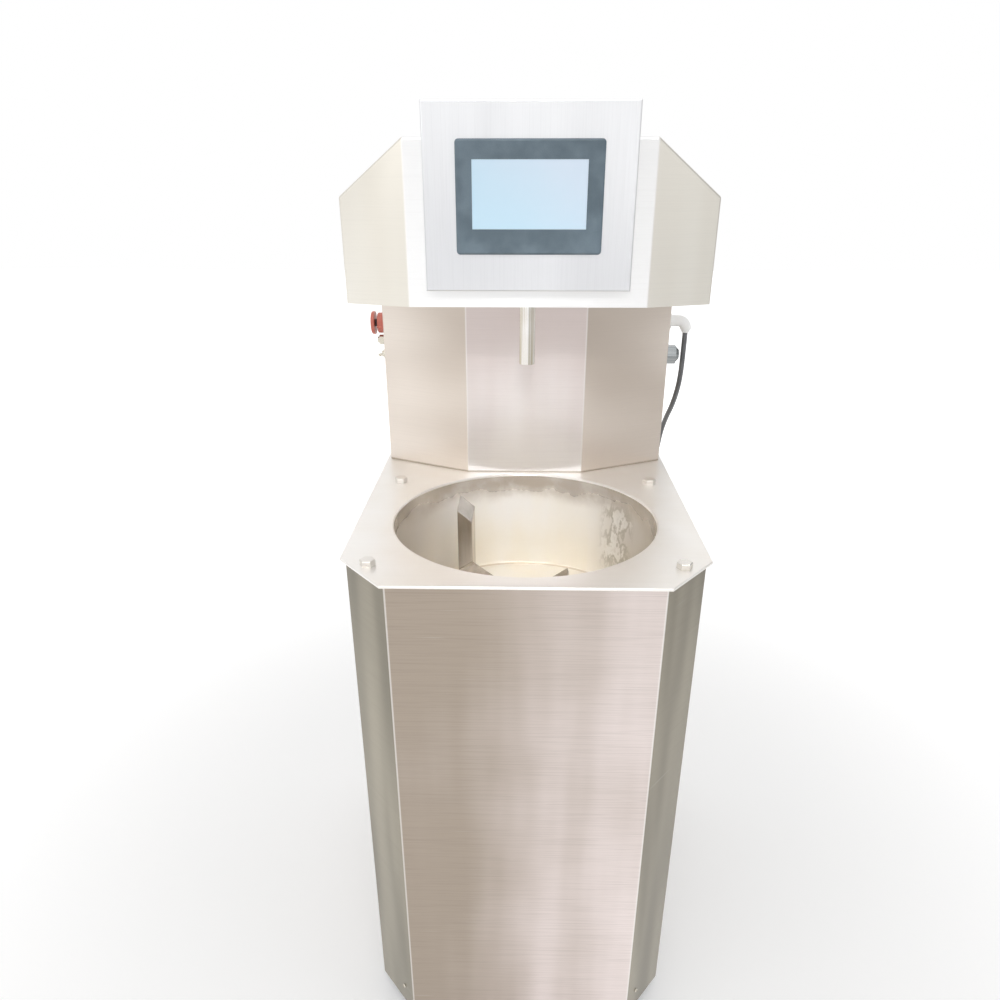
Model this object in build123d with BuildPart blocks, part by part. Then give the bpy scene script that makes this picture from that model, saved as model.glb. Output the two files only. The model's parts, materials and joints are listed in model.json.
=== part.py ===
from build123d import *
import os
from math import cos, hypot, pi, radians, sin, sqrt, tan

# Chocolate tempering machine, in millimetres.
# X points to the operator's right, Y away from the operator, Z up.
# The origin is on the floor, under the middle of the deck.

# Sheet metal, fits and fasteners
sheet = 1.5
bend_radius = 5.0
fit_gap = 0.05
seat_gap = 0.2
edge_break = 1.0
screw_radius = 2.0
screw_head_radius = 4.5
screw_head_height = 2.4
screw_length = 7.0
screw_from_end = 40.0
screw_from_deck = 60.0

# Cabinet
foot_height = 35.0
deck_width = 562.0
deck_depth = 700.0
deck_thickness = 4.0
deck_top = 960.0
deck_lip = 8.0
deck_rim_radius = 3.0
corner_width = 74.0
corner_depth = 90.0
tube = 25.0
tube_wall = 2.0
plinth_height = 50.0
corner_screw_z = 78.0
corner_screw_from_fold = 28.0

# Levelling feet
foot_pad_radius = 22.0
foot_pad_height = 9.0
foot_stem_radius = 6.0
foot_nut_radius = 11.0
foot_nut_height = 8.0
foot_setback = 24.0

# Deck bolts and the frame lugs under them
bolt_from_side = 47.0
bolt_from_front = 67.0
bolt_behind_bowl = 171.0
bolt_radius = 5.0
bolt_head_radius = 12.0
bolt_head_height = 10.0
bolt_head_chamfer = 1.2
bolt_length = 16.0
lug_thickness = 6.0
lug_reach = 24.0
lug_front_reach = 11.0
lug_side_reach = 2.0

# Bowl and its water jacket
bowl_side_margin = 60.5
bowl_front_margin = 33.5
bowl_rear_margin = 11.5
bowl_depth = 194.0
bowl_wall = 2.0
bowl_corner_radius = 8.0
bowl_flange = 14.0
jacket_gap = 11.5
jacket_depth = 22.0
boss_radius = 18.0
boss_bore = 15.0
outlet_from_wall = 84.5
heater_ring_radius = 104.0
heater_tube_radius = 5.0
heater_leg_angle = 10.0
heater_leg_length = 36.0
heater_leg_radius = 4.0
heater_flange_width = 70.0
heater_flange_depth = 26.0

# Stirrer
arm_side = 28.0
arm_floor_gap = 4.0
arm_angle = 125.6
scraper_wall_gap = 10.5
scraper_below_deck = 25.0
paddle_radius = 98.2
paddle_below_deck = 46.0
post_slant = 43.0
hub_radius = 22.0
hub_height = 40.0
hub_seal_gap = 1.0
hub_nut_radius = 15.0
hub_nut_height = 13.0
hub_nut_dome = 9.0

# Stirrer drive
shaft_radius = 10.0
shaft_end_radius = 7.0
shaft_end_length = 16.0
seal_flange_radius = 22.0
seal_flange_height = 3.0
bearing_radius = 21.0
bearing_width = 12.0
bearing_pitch = 34.0
housing_flange_radius = 50.0
housing_flange_height = 10.0
housing_radius = 32.0
housing_height = 66.0
coupling_radius = 22.0
coupling_height = 60.0
coupling_grip = 20.0
spigot_radius = 9.5
spigot_length = 50.0
coupling_lift = 20.0
coupling_housing_gap = 16.0
coupling_end_gap = 1.0
drive_plate_thickness = 8.0
drive_plate_margin = 12.0
drive_hole_radius = 30.0
drive_window_width = 130.0
drive_window_depth = 150.0

# Gearmotors
gear_flange_radius = 60.0
gear_flange_height = 10.0
gear_case_radius = 50.0
gear_case_height = 80.0
motor_radius = 50.0
motor_height = 140.0
motor_fin_height = 6.0
motor_fin_width = 3.0
motor_fins = 18
motor_cowl_radius = 57.0
motor_cowl_height = 40.0
terminal_box_width = 56.0
terminal_box_depth = 34.0
terminal_box_height = 60.0

# Tempering unit
cylinder_from_rear = 110.0
cylinder_radius = 38.0
cylinder_wall = 3.0
cylinder_rise = 93.0
screw_clearance = 1.5
screw_core_radius = 13.0
screw_pitch = 90.0
flight_thickness = 5.0
flight_start = 14.0
flight_end_gap = 106.0
flight_root = 1.0
screw_journal_radius = 10.0
screw_journal_length = 14.0
screw_end_gap = 1.0
lantern_height = 60.0
lantern_flange_radius = 66.0
lantern_flange_height = 10.0
lantern_radius = 48.0
lantern_bore = 36.0
lantern_top_height = 12.0
lantern_room = 4.0
cap_radius = 50.0
cap_height = 16.0
cap_spigot_height = 9.0
cooling_radius = 50.0
cooling_wall = 2.0
cooling_start = 180.0
cooling_end_gap = 80.0
cooling_end_height = 6.0

# Chocolate pipes and nozzle
feed_radius = 19.0
feed_wall = 2.0
feed_drop = 74.0
feed_bend = 45.0
nozzle_radius = 12.0
nozzle_wall = 2.0
nozzle_length = 88.0
nozzle_grip = 16.0
spout_wall = 3.0
spout_rise = 58.0
spout_bend = 36.0
spout_floor_gap = 3.0

# Cooling unit
compressor_side_gap = 39.5
compressor_shroud_gap = 10.0
compressor_radius = 82.0
compressor_body_height = 120.0
compressor_dome_height = 46.0
compressor_foot_height = 14.0
compressor_foot_radius = 12.0
compressor_foot_spread = 140.0
compressor_base = 3.0
condenser_side_gap = 18.5
condenser_width = 240.0
condenser_height = 186.0
condenser_depth = 44.0
condenser_rear_gap = 14.0
condenser_fins = 21
condenser_fin = 1.2
condenser_tube_radius = 4.8
condenser_tube_rows = 5
condenser_tube_end = 6.0
shroud_depth = 30.0
shroud_wall = 2.0
fan_radius = 82.0
fan_tip_gap = 4.0
fan_hub_gap = 4.0
fan_shaft_gap = 2.0
fan_hub_radius = 20.0
fan_blades = 5
fan_blade_width = 42.0
fan_blade_thickness = 2.0
fan_blade_pitch = 28.0
fan_shaft_radius = 4.0
fan_motor_radius = 32.0
fan_motor_length = 52.0
fan_arm_width = 12.0
fan_arm_thickness = 4.0

# Column
column_lip = 7.0
column_front_half = 110.0
column_depth = 214.0
column_fold_depth = 135.0
column_height = 347.0
rear_flange = 18.0
louvre_width = 110.0
louvre_height = 9.0
louvre_depth = 5.0
louvre_pitch = 20.0
louvre_rows = 7
louvre_panel_start = 40.0
louvre_cover_start = 60.0

# Head
head_front_half = 174.0
head_past_nozzle = 31.0
head_corner_depth = 37.0
head_height = 222.0
shoulder_drop = 75.0
floor_opening_half = 100.0
floor_opening_gap = 9.0

# Control gear in the column
control_side_gap = 71.0
control_cylinder_gap = 15.0
control_head_gap = 27.0
control_fold_gap = 13.0
control_foot = 22.0
rail_height = 35.0
rail_depth = 7.5
controller_margin = 14.0
controller_height = 90.0
controller_depth = 60.0
contactor_height = 72.0
contactor_depth = 70.0
contactor_gap = 4.0
contactor_margin = 3.0
contactor_count = 3
upper_rail_drop = 85.0
lower_rail_rise = 95.0
wire_hole_radius = 25.0

# Screen panel and operator panel
screen_width = 289.0
screen_height = 237.0
screen_depth = 30.0
screen_rise = 26.0
screen_bend = 3.0
hmi_width = 200.0
hmi_height = 143.0
hmi_bezel = 6.0
hmi_corner = 5.0
hmi_rim = 2.5
hmi_rise = 120.5
hmi_body_width = 186.0
hmi_body_height = 130.0
hmi_body_depth = 38.0
display_width = 155.7
display_height = 86.0
display_lift = 4.0
display_thickness = 1.6
display_recess = 0.6

# Emergency stop, push button and toggle on the column's left side
controls_fold_gap = 25.0
e_stop_drop = 80.0
e_stop_reach = 24.5
e_stop_cap_radius = 21.5
e_stop_cap_height = 7.0
e_stop_collar_radius = 19.0
e_stop_collar_height = 12.0
e_stop_nut_radius = 16.0
e_stop_barrel_radius = 11.0
e_stop_barrel_length = 26.0
e_stop_block_side = 40.0
e_stop_block_depth = 34.0
e_stop_stem_radius = 7.0
e_stop_spigot_radius = 5.0
e_stop_spigot_length = 4.0
e_stop_travel = 4.0
e_stop_end_gap = 1.0
e_stop_block_gap = 4.0
push_drop = 112.0
push_collar_radius = 9.5
push_collar_height = 11.5
push_radius = 6.0
push_reach = 15.0
push_tail = 10.0
push_barrel_radius = 8.0
push_barrel_length = 26.0
push_travel = 3.0
push_end_gap = 1.0
slide_gap = 0.2
toggle_drop = 139.0
toggle_nut_radius = 10.0
toggle_nut_height = 4.0
toggle_bush_radius = 6.0
toggle_bush_height = 8.0
toggle_bore = 4.2
toggle_pivot = 5.0
toggle_ball_radius = 3.9
toggle_lever_length = 9.0
toggle_lever_root = 1.9
toggle_lever_tip = 2.8
toggle_rest_angle = 18.0
toggle_tail_radius = 7.0
toggle_tail_length = 24.0

# Gland and jacket fitting on the column's right side
gland_fold_gap = 35.0
gland_below_head = 76.0
gland_reach = 36.0
gland_radius = 10.5
gland_drop = 16.0
gland_bend = 15.0
gland_nose_length = 6.0
gland_nose_root = 9.0
gland_nose_tip = 6.5
gland_nut_radius = 16.0
gland_nut_height = 6.0
gland_thread_radius = 10.0
gland_thread_length = 20.0
gland_locknut_height = 5.0
fitting_drop = 138.0
fitting_hex_radius = 19.0
fitting_hex_height = 18.0
fitting_nose_root = 16.0
fitting_nose_tip = 9.0
fitting_thread_radius = 11.0
fitting_tail_length = 26.0
fitting_bore = 7.0

# Mains lead
cord_radius = 5.0
coil_from_gland = 230.0
coil_behind_deck = 78.0
coil_middle_radius = 55.0
coil_turn_rise = 20.0
plug_length = 44.0
plug_radius = 17.0
plug_nose_length = 30.0
plug_nose_radius = 7.5
plug_sleeve = 1.0
plug_pin_radius = 2.4
plug_pin_length = 19.0
plug_pin_pitch = 19.0

# Cabinet, bowl and stirrer, worked out from these. The bowl is the largest that leaves its margins.
deck_under = deck_top - deck_thickness
panel_side = deck_width / 2 - deck_lip
panel_rear = deck_depth / 2 - deck_lip
frame_side = panel_side - sheet
frame_rear = panel_rear - sheet
plinth_top = foot_height + plinth_height
pan_top = plinth_top + sheet
bowl_room = deck_depth - column_depth - bowl_front_margin - bowl_rear_margin
bowl_radius = min(bowl_room / 2, deck_width / 2 - bowl_side_margin)
column_front_y = deck_depth / 2 - column_depth
bowl_y = column_front_y - bowl_rear_margin - bowl_radius
bowl_floor = deck_top - bowl_depth
bowl_under = bowl_floor - bowl_wall
jacket_under = bowl_under - jacket_depth
jacket_radius = bowl_radius + bowl_wall + jacket_gap
outlet_y = bowl_y + bowl_radius - outlet_from_wall
bolt_x = deck_width / 2 - bolt_from_side
bolt_front_y = bolt_from_front - deck_depth / 2
bolt_rear_y = bowl_y + bolt_behind_bowl
arm_half = arm_side / sqrt(2)
arm_z = bowl_floor + arm_floor_gap + arm_half
scraper_radius = bowl_radius - scraper_wall_gap - arm_half
scraper_top = deck_top - scraper_below_deck
paddle_top = deck_top - paddle_below_deck
hub_bottom = bowl_floor + seal_flange_height + hub_seal_gap
hub_top = hub_bottom + hub_height

# Column, head and what is fixed to them
column_half = deck_width / 2 - column_lip
column_fold_y = deck_depth / 2 - column_fold_depth
column_top = deck_top + column_height
cover_face = panel_rear - sheet
head_front_y = bowl_y - head_past_nozzle
head_fold_y = head_front_y + head_corner_depth
head_top = column_top + head_height
head_side_top = head_top - shoulder_drop
floor_opening_front = column_front_y + floor_opening_gap
screen_bottom = column_top + screen_rise
screen_face = head_front_y - screen_depth
screen_centre_z = screen_bottom + screen_height / 2
hmi_centre_z = screen_bottom + hmi_rise
display_centre_z = hmi_centre_z + display_lift
controls_y = column_fold_y + controls_fold_gap
e_stop_z = column_top - e_stop_drop
push_z = column_top - push_drop
toggle_z = column_top - toggle_drop
gland_y = column_fold_y + gland_fold_gap
gland_z = column_top - gland_below_head
fitting_z = column_top - fitting_drop
control_plate_width = column_half - control_side_gap - cooling_radius - control_cylinder_gap
control_plate_x = control_side_gap + control_plate_width / 2 - column_half
control_plate_y = column_fold_y + control_fold_gap
control_plate_height = column_height - control_head_gap
controller_width = control_plate_width - 2 * controller_margin
contactor_pitch = (control_plate_width - 2 * contactor_margin) / contactor_count
contactor_width = contactor_pitch - contactor_gap

# Drives, tempering unit and cooling unit
cylinder_y = deck_depth / 2 - cylinder_from_rear
stirrer_coupling_top = jacket_under - housing_height - coupling_housing_gap
stirrer_coupling_bottom = stirrer_coupling_top - coupling_height
stirrer_shaft_bottom = stirrer_coupling_top - coupling_grip
drive_plate_top = stirrer_coupling_bottom - coupling_lift
drive_plate_front = bowl_y - gear_flange_radius - drive_plate_margin
drive_plate_rear = cylinder_y + gear_flange_radius + drive_plate_margin
beam_top = drive_plate_top - drive_plate_thickness
cylinder_bottom = drive_plate_top + lantern_height
cylinder_top = column_top + cylinder_rise
screw_radius_outer = cylinder_radius - cylinder_wall - screw_clearance
auger_coupling_height = lantern_height - lantern_top_height - lantern_room
auger_coupling_bottom = drive_plate_top + coupling_end_gap
auger_shaft_bottom = auger_coupling_bottom + auger_coupling_height - coupling_grip
feed_z = bowl_under - feed_drop
nozzle_end = column_top - nozzle_length
spout_z = column_top + spout_rise
condenser_x = frame_side - tube - condenser_side_gap - condenser_width / 2
condenser_rear = frame_rear - condenser_rear_gap
condenser_front = condenser_rear - condenser_depth
fan_z = pan_top + condenser_height / 2
compressor_half = compressor_foot_spread / 2 + compressor_foot_radius
compressor_x = compressor_side_gap + compressor_half + tube - frame_side
compressor_y = condenser_front - shroud_depth - compressor_shroud_gap - compressor_half

BASE = (Align.CENTER, Align.CENTER, Align.MIN)
HANG = (Align.CENTER, Align.CENTER, Align.MAX)

bowl_axis = Axis((0, bowl_y, 0), (0, 0, 1))
bowl_section = Plane.XZ.offset(-bowl_y)
cylinder_axis = Axis((0, cylinder_y, 0), (0, 0, 1))
cylinder_section = Plane.XZ.offset(-cylinder_y)


def cabinet_plan(inset):
    """Corners of the cabinet's plan, parallel to the deck's edge at this distance inside it."""
    slant = hypot(corner_width, corner_depth)
    side = deck_width / 2 - inset
    front = deck_depth / 2 - inset
    side_y = corner_depth - deck_depth / 2 + inset * (slant - corner_depth) / corner_width
    front_x = deck_width / 2 - corner_width - inset * (slant - corner_width) / corner_depth
    right = [(side, front), (side, side_y), (front_x, -front)]
    left = [(-x, y) for x, y in reversed(right)]
    return right + left


def mirrored(points):
    """A half outline on the right side, closed with its mirror image on the left."""
    return points + [(-x, y) for x, y in reversed(points)]


def left_face(z):
    """Plane on the column's left side at the controls, pointing out."""
    return Plane(origin=(-column_half, controls_y, z), x_dir=(0, 1, 0), z_dir=(-1, 0, 0))


def right_face(y, z):
    """Plane on the column's right side, pointing out."""
    return Plane(origin=(column_half, y, z), x_dir=(0, 1, 0), z_dir=(1, 0, 0))


def round_piece(section, axis, profile):
    """A turned piece: a closed profile of radius and height, revolved about its axis."""
    with BuildPart() as turned:
        with BuildSketch(section):
            with BuildLine():
                Polyline(*profile, close=True)
            make_face()
        revolve(axis=axis)
    return turned.part


# Places of the screws that hold the sheet metal, each with its outward direction
corner_fold = cabinet_plan(deck_lip)[2]
corner_edge = cabinet_plan(deck_lip)[1]
corner_run = Vector(*corner_edge) - Vector(*corner_fold)
corner_spot = Vector(*corner_fold) + corner_run.normalized() * corner_screw_from_fold
corner_screws = [
    Plane(
        origin=(side * corner_spot.X, corner_spot.Y, corner_screw_z),
        x_dir=(0, 0, 1),
        z_dir=(side * corner_run.Y, -corner_run.X, 0),
    )
    for side in (1, -1)
]
upright_x = frame_side - tube / 2
upright_front_y = cabinet_plan(deck_lip + sheet)[1][1] + tube * 0.8
upright_rear_y = frame_rear - tube / 2
upright_spots = [
    (side * upright_x, y, plinth_top)
    for side in (1, -1)
    for y in (upright_front_y, upright_rear_y)
]
panel_split_y = upright_front_y + tube / 4
side_screw_levels = [plinth_top + screw_from_end, deck_under - screw_from_deck]
side_screws = [
    Plane(origin=(side * panel_side, upright_rear_y, z), x_dir=(0, 1, 0), z_dir=(side, 0, 0))
    for side in (1, -1)
    for z in side_screw_levels
]
rear_screws = [
    Plane(origin=(side * upright_x, panel_rear, z), x_dir=(1, 0, 0), z_dir=(0, 1, 0))
    for side in (1, -1)
    for z in side_screw_levels
]
cover_screws = [
    Plane(
        origin=(side * (column_half - rear_flange / 2), panel_rear, z),
        x_dir=(1, 0, 0),
        z_dir=(0, 1, 0),
    )
    for side in (1, -1)
    for z in (deck_top + screw_from_end, head_side_top - screw_from_end)
]
all_screws = corner_screws + side_screws + rear_screws + cover_screws
bolt_spots = [
    (side * bolt_x, y)
    for side in (1, -1)
    for y in (bolt_front_y, bolt_rear_y)
]
foot_spots = [
    (side * upright_x, y)
    for side in (1, -1)
    for y in (upright_front_y + foot_setback, upright_rear_y)
]

# Welded frame of square tube on a deeper plinth ring, with lugs for the deck bolts
beam_y = (upright_front_y - tube / 2 + frame_rear) / 2
beam_length = frame_rear - upright_front_y + tube / 2
side_beams = [
    (side * upright_x, beam_y, z)
    for side in (1, -1)
    for z in (beam_top, deck_under)
]
with BuildPart() as base_frame:
    with BuildSketch(Plane.XY.offset(foot_height)) as plinth:
        with BuildLine():
            Polyline(*cabinet_plan(deck_lip + sheet), close=True)
        make_face()
        fillet(plinth.vertices().sort_by(Axis.Y)[:4], bend_radius)
        offset(amount=-tube, kind=Kind.INTERSECTION, mode=Mode.SUBTRACT)
    extrude(amount=plinth_height)
    with Locations(*upright_spots):
        Box(tube, tube, deck_under - plinth_top, align=BASE)
    with Locations(*side_beams):
        Box(tube, beam_length, tube, align=HANG)
    with Locations((0, upright_rear_y, deck_under)):
        Box(2 * upright_x, tube, tube, align=HANG)
    with BuildSketch(Plane.XY.offset(deck_under - lug_thickness)):
        for side in (1, -1):
            with BuildLine():
                Polyline(
                    (side * (bolt_x - lug_reach), bolt_front_y - lug_front_reach),
                    (side * (bolt_x + lug_side_reach), bolt_front_y - lug_front_reach),
                    (side * upright_x, upright_front_y - tube / 2),
                    (side * upright_x, upright_front_y),
                    (side * (bolt_x - lug_reach), upright_front_y),
                    close=True,
                )
            make_face()
            with Locations((side * (bolt_x - lug_reach + upright_x) / 2, bolt_rear_y)):
                Rectangle(upright_x - bolt_x + lug_reach, 2 * lug_reach)
    extrude(amount=lug_thickness)
    with BuildSketch(Plane.XY.offset(foot_height + tube_wall)):
        with BuildLine():
            Polyline(*cabinet_plan(deck_lip + sheet + tube_wall), close=True)
        make_face()
        offset(amount=2 * tube_wall - tube, kind=Kind.INTERSECTION, mode=Mode.SUBTRACT)
    extrude(amount=plinth_height - 2 * tube_wall, mode=Mode.SUBTRACT)
    with Locations(*upright_spots):
        Box(
            tube - 2 * tube_wall,
            tube - 2 * tube_wall,
            deck_under - plinth_top - tube_wall,
            align=BASE,
            mode=Mode.SUBTRACT,
        )
    with Locations(*[(x, y, z - tube_wall) for x, y, z in side_beams]):
        Box(
            tube - 2 * tube_wall,
            beam_length - 2 * tube_wall,
            tube - 2 * tube_wall,
            align=HANG,
            mode=Mode.SUBTRACT,
        )
    with Locations((0, upright_rear_y, deck_under - tube_wall)):
        Box(2 * upright_x, tube - 2 * tube_wall, tube - 2 * tube_wall, align=HANG, mode=Mode.SUBTRACT)
    with Locations(*[(x, y, deck_under) for x, y in bolt_spots]):
        Cylinder(bolt_radius + fit_gap, 2 * lug_thickness, mode=Mode.SUBTRACT)
    with Locations(*[(x, y, foot_height) for x, y in foot_spots]):
        Cylinder(foot_stem_radius + fit_gap, 2 * tube_wall + 1, mode=Mode.SUBTRACT)
    with Locations(*(corner_screws + side_screws + rear_screws)):
        Cylinder(screw_radius + fit_gap, 2 * screw_length, mode=Mode.SUBTRACT)

# Floor of the cabinet, notched round the uprights
with BuildPart() as base_pan:
    with BuildSketch(Plane.XY.offset(plinth_top)) as pan_plan:
        with BuildLine():
            Polyline(*cabinet_plan(deck_lip + sheet + seat_gap), close=True)
        make_face()
        fillet(pan_plan.vertices().sort_by(Axis.Y)[:4], bend_radius)
        with Locations(*[(x, y) for x, y, z in upright_spots]):
            Rectangle(tube + 2 * seat_gap, tube + 2 * seat_gap, mode=Mode.SUBTRACT)
    extrude(amount=sheet)

# Four levelling feet, each a pad, a threaded stem and a lock nut under the frame
foot_profile = [
    (0, 0),
    (foot_pad_radius, 0),
    (foot_pad_radius, foot_pad_height * 0.5),
    (foot_nut_radius, foot_pad_height),
    (foot_stem_radius, foot_pad_height + 3),
    (foot_stem_radius, foot_height + 2 * tube_wall),
    (0, foot_height + 2 * tube_wall),
]
with BuildPart() as foot:
    with BuildSketch(Plane.XZ):
        with BuildLine():
            Polyline(*foot_profile, close=True)
        make_face()
    revolve(axis=Axis.Z)
    with BuildSketch(Plane.XY.offset(foot_height - foot_nut_height)):
        RegularPolygon(foot_nut_radius, 6)
    extrude(amount=foot_nut_height)
with BuildPart() as levelling_feet:
    with Locations(*foot_spots):
        add(foot.part)

# Front panel, one sheet folded round both slanted corners
with BuildPart() as front_panel:
    with BuildSketch(Plane.XY.offset(foot_height)) as wrap:
        with BuildLine():
            Polyline(*cabinet_plan(deck_lip), close=True)
        make_face()
        fillet(wrap.vertices().sort_by(Axis.Y)[:4], bend_radius)
        offset(amount=-sheet, mode=Mode.SUBTRACT)
        with Locations((0, panel_split_y)):
            Rectangle(deck_width, deck_depth, align=(Align.CENTER, Align.MIN), mode=Mode.SUBTRACT)
    extrude(amount=deck_under - foot_height)
    with Locations(*corner_screws):
        Cylinder(screw_radius + seat_gap, 4 * sheet, mode=Mode.SUBTRACT)


def side_panel(side):
    """Flat side of the cabinet, from the front panel's edge to the rear panel."""
    with BuildPart() as panel:
        with BuildSketch(Plane.XY.offset(foot_height)):
            with Locations((side * (panel_side - sheet / 2), panel_split_y + seat_gap)):
                Rectangle(sheet, frame_rear - panel_split_y - seat_gap, align=(Align.CENTER, Align.MIN))
        extrude(amount=deck_under - foot_height)
        with Locations(*side_screws):
            Cylinder(screw_radius + seat_gap, 4 * sheet, mode=Mode.SUBTRACT)
    return panel.part


def louvre_spots(bottom, columns):
    """Centres of the louvres on a rear sheet, in columns side by side."""
    start = -(columns - 1) / 2 * (louvre_width + louvre_pitch)
    return [
        (start + column * (louvre_width + louvre_pitch), bottom + row * louvre_pitch)
        for column in range(columns)
        for row in range(louvre_rows)
    ]


def rear_sheet(outline, louvres, screws):
    """A flat rear sheet with pressed louvres, each a sloping hood over a slot."""
    with BuildPart() as rear:
        with BuildSketch(Plane.XZ.offset(-panel_rear)):
            with BuildLine():
                Polyline(*outline, close=True)
            make_face()
            with Locations(*louvres):
                Rectangle(louvre_width, louvre_height, mode=Mode.SUBTRACT)
        extrude(amount=sheet)
        for x, z in louvres:
            with BuildSketch(Plane.YZ.offset(x)):
                with BuildLine():
                    Polyline(
                        (panel_rear - sheet, z + louvre_height / 2),
                        (panel_rear, z + louvre_height / 2 + sheet),
                        (panel_rear + louvre_depth, z - louvre_height / 2),
                        (panel_rear + louvre_depth - sheet, z - louvre_height / 2),
                        close=True,
                    )
                make_face()
            extrude(amount=louvre_width / 2, both=True)
        with Locations(*screws):
            Cylinder(screw_radius + seat_gap, 4 * sheet, mode=Mode.SUBTRACT)
    return rear.part


left_side_panel = side_panel(-1)
right_side_panel = side_panel(1)
rear_panel = rear_sheet(
    mirrored([(panel_side, foot_height), (panel_side, deck_under)]),
    louvre_spots(plinth_top + louvre_panel_start, 3),
    rear_screws,
)
rear_cover = rear_sheet(
    mirrored([
        (column_half, deck_top),
        (column_half, head_side_top),
        (head_front_half, head_top),
    ]),
    louvre_spots(deck_top + louvre_cover_start, 2),
    cover_screws,
)

with BuildPart() as panel_screws:
    with Locations(*all_screws):
        Cone(screw_head_radius, screw_head_radius * 0.6, screw_head_height, align=BASE)
        Cylinder(screw_radius, screw_length, align=HANG)

# Deck plate with the bowl's opening and the passages into the column
with BuildPart() as deck_plate:
    with BuildSketch(Plane.XY.offset(deck_under)):
        with BuildLine():
            Polyline(*cabinet_plan(0), close=True)
        make_face()
        with Locations((0, bowl_y)):
            Circle(bowl_radius, mode=Mode.SUBTRACT)
        with Locations((0, cylinder_y)):
            Circle(cooling_radius + seat_gap, mode=Mode.SUBTRACT)
        with Locations((-control_plate_x, cylinder_y)):
            Circle(wire_hole_radius, mode=Mode.SUBTRACT)
        with Locations(*bolt_spots):
            Circle(bolt_radius + fit_gap, mode=Mode.SUBTRACT)
    extrude(amount=deck_thickness)
    chamfer(deck_plate.faces().sort_by(Axis.Z)[-1].outer_wire().edges(), edge_break)
    deck_circles = deck_plate.faces().sort_by(Axis.Z)[-1].edges().filter_by(GeomType.CIRCLE)
    fillet(deck_circles.sort_by(SortBy.RADIUS)[-1], deck_rim_radius)

with BuildPart() as deck_bolt:
    with BuildSketch(Plane.XY.offset(deck_top)):
        RegularPolygon(bolt_head_radius, 6)
    extrude(amount=bolt_head_height)
    chamfer(deck_bolt.faces().sort_by(Axis.Z)[-1].edges(), bolt_head_chamfer)
    with Locations((0, 0, deck_top)):
        Cylinder(bolt_radius, bolt_length, align=HANG)
with BuildPart() as deck_bolts:
    with Locations(*bolt_spots):
        add(deck_bolt.part)

# Bowl, spun from sheet, with a flange under the deck and a boss for the stirrer's shaft
with BuildPart() as bowl:
    with BuildSketch(bowl_section):
        with BuildLine():
            inside = FilletPolyline(
                (boss_bore, bowl_floor),
                (bowl_radius, bowl_floor),
                (bowl_radius, deck_under),
                radius=bowl_corner_radius,
            )
            outside = FilletPolyline(
                (bowl_radius + bowl_wall, deck_under - bowl_wall),
                (bowl_radius + bowl_wall, bowl_under),
                (boss_radius, bowl_under),
                radius=bowl_corner_radius + bowl_wall,
            )
            Polyline(
                inside @ 1,
                (bowl_radius + bowl_flange, deck_under),
                (bowl_radius + bowl_flange, deck_under - bowl_wall),
                outside @ 0,
            )
            Polyline(outside @ 1, (boss_radius, jacket_under), (boss_bore, jacket_under), inside @ 0)
        make_face()
    revolve(axis=bowl_axis)
    with Locations((0, outlet_y, bowl_floor)):
        Cylinder(feed_radius - feed_wall, 4 * bowl_wall, mode=Mode.SUBTRACT)

# Water jacket round the bowl, with the heating element in its floor
heater_legs = [
    (heater_ring_radius * sin(radians(side * heater_leg_angle)),
     bowl_y - heater_ring_radius * cos(radians(heater_leg_angle)))
    for side in (1, -1)
]
with BuildPart() as water_jacket:
    with BuildSketch(bowl_section):
        with BuildLine():
            Polyline(
                (boss_radius + fit_gap, jacket_under),
                (jacket_radius, jacket_under),
                (jacket_radius, deck_under - bowl_wall),
                (jacket_radius - bowl_wall, deck_under - bowl_wall),
                (jacket_radius - bowl_wall, jacket_under + bowl_wall),
                (boss_radius + fit_gap, jacket_under + bowl_wall),
                close=True,
            )
        make_face()
    revolve(axis=bowl_axis)
    with Locations((0, outlet_y, jacket_under)):
        Cylinder(feed_radius + fit_gap, 4 * bowl_wall, mode=Mode.SUBTRACT)
    with Locations(*[(x, y, jacket_under) for x, y in heater_legs]):
        Cylinder(heater_leg_radius + fit_gap, 4 * bowl_wall, mode=Mode.SUBTRACT)

heater_z = (jacket_under + bowl_wall + bowl_under) / 2
with BuildPart() as jacket_heater:
    with Locations((0, bowl_y, heater_z)):
        Torus(heater_ring_radius, heater_tube_radius)
    with Locations(*[(x, y, heater_z) for x, y in heater_legs]):
        Cylinder(heater_leg_radius, heater_leg_length, align=HANG)
    with Locations((0, heater_legs[0][1], jacket_under)):
        Box(heater_flange_width, heater_flange_depth, 2 * bowl_wall, align=HANG)

# Stirrer: square tube laid on edge, mitred up into posts whose tops are cut aslant
def arm_plan(angle):
    """Plane on the floor under the bowl's axis, with its X along an arm of the stirrer."""
    along = (cos(radians(angle)), sin(radians(angle)), 0)
    return Plane(origin=(0, bowl_y, 0), x_dir=along, z_dir=(0, 0, 1))


def across_arm(plan, radius, z, slope):
    """Plane through a point of an arm, tilted along the arm by this slope of height to radius."""
    point = plan.from_local_coords(Vector(radius, 0, z))
    return Plane(origin=point, x_dir=plan.y_dir, z_dir=plan.x_dir * -slope + plan.z_dir)


def stirrer_post(plan, radius, top):
    """Square post on edge: mitred to its arm below, cut aslant above, highest at the wall."""
    with BuildPart() as post:
        with BuildSketch(plan.offset(bowl_floor)):
            with Locations((radius, 0)):
                Rectangle(arm_side, arm_side, rotation=45)
        extrude(amount=top - bowl_floor)
        split(bisect_by=across_arm(plan, radius, arm_z, -1), keep=Keep.TOP)
        top_cut = across_arm(plan, radius + arm_half, top, post_slant / (2 * arm_half))
        split(bisect_by=top_cut, keep=Keep.BOTTOM)
    return post.part


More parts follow.
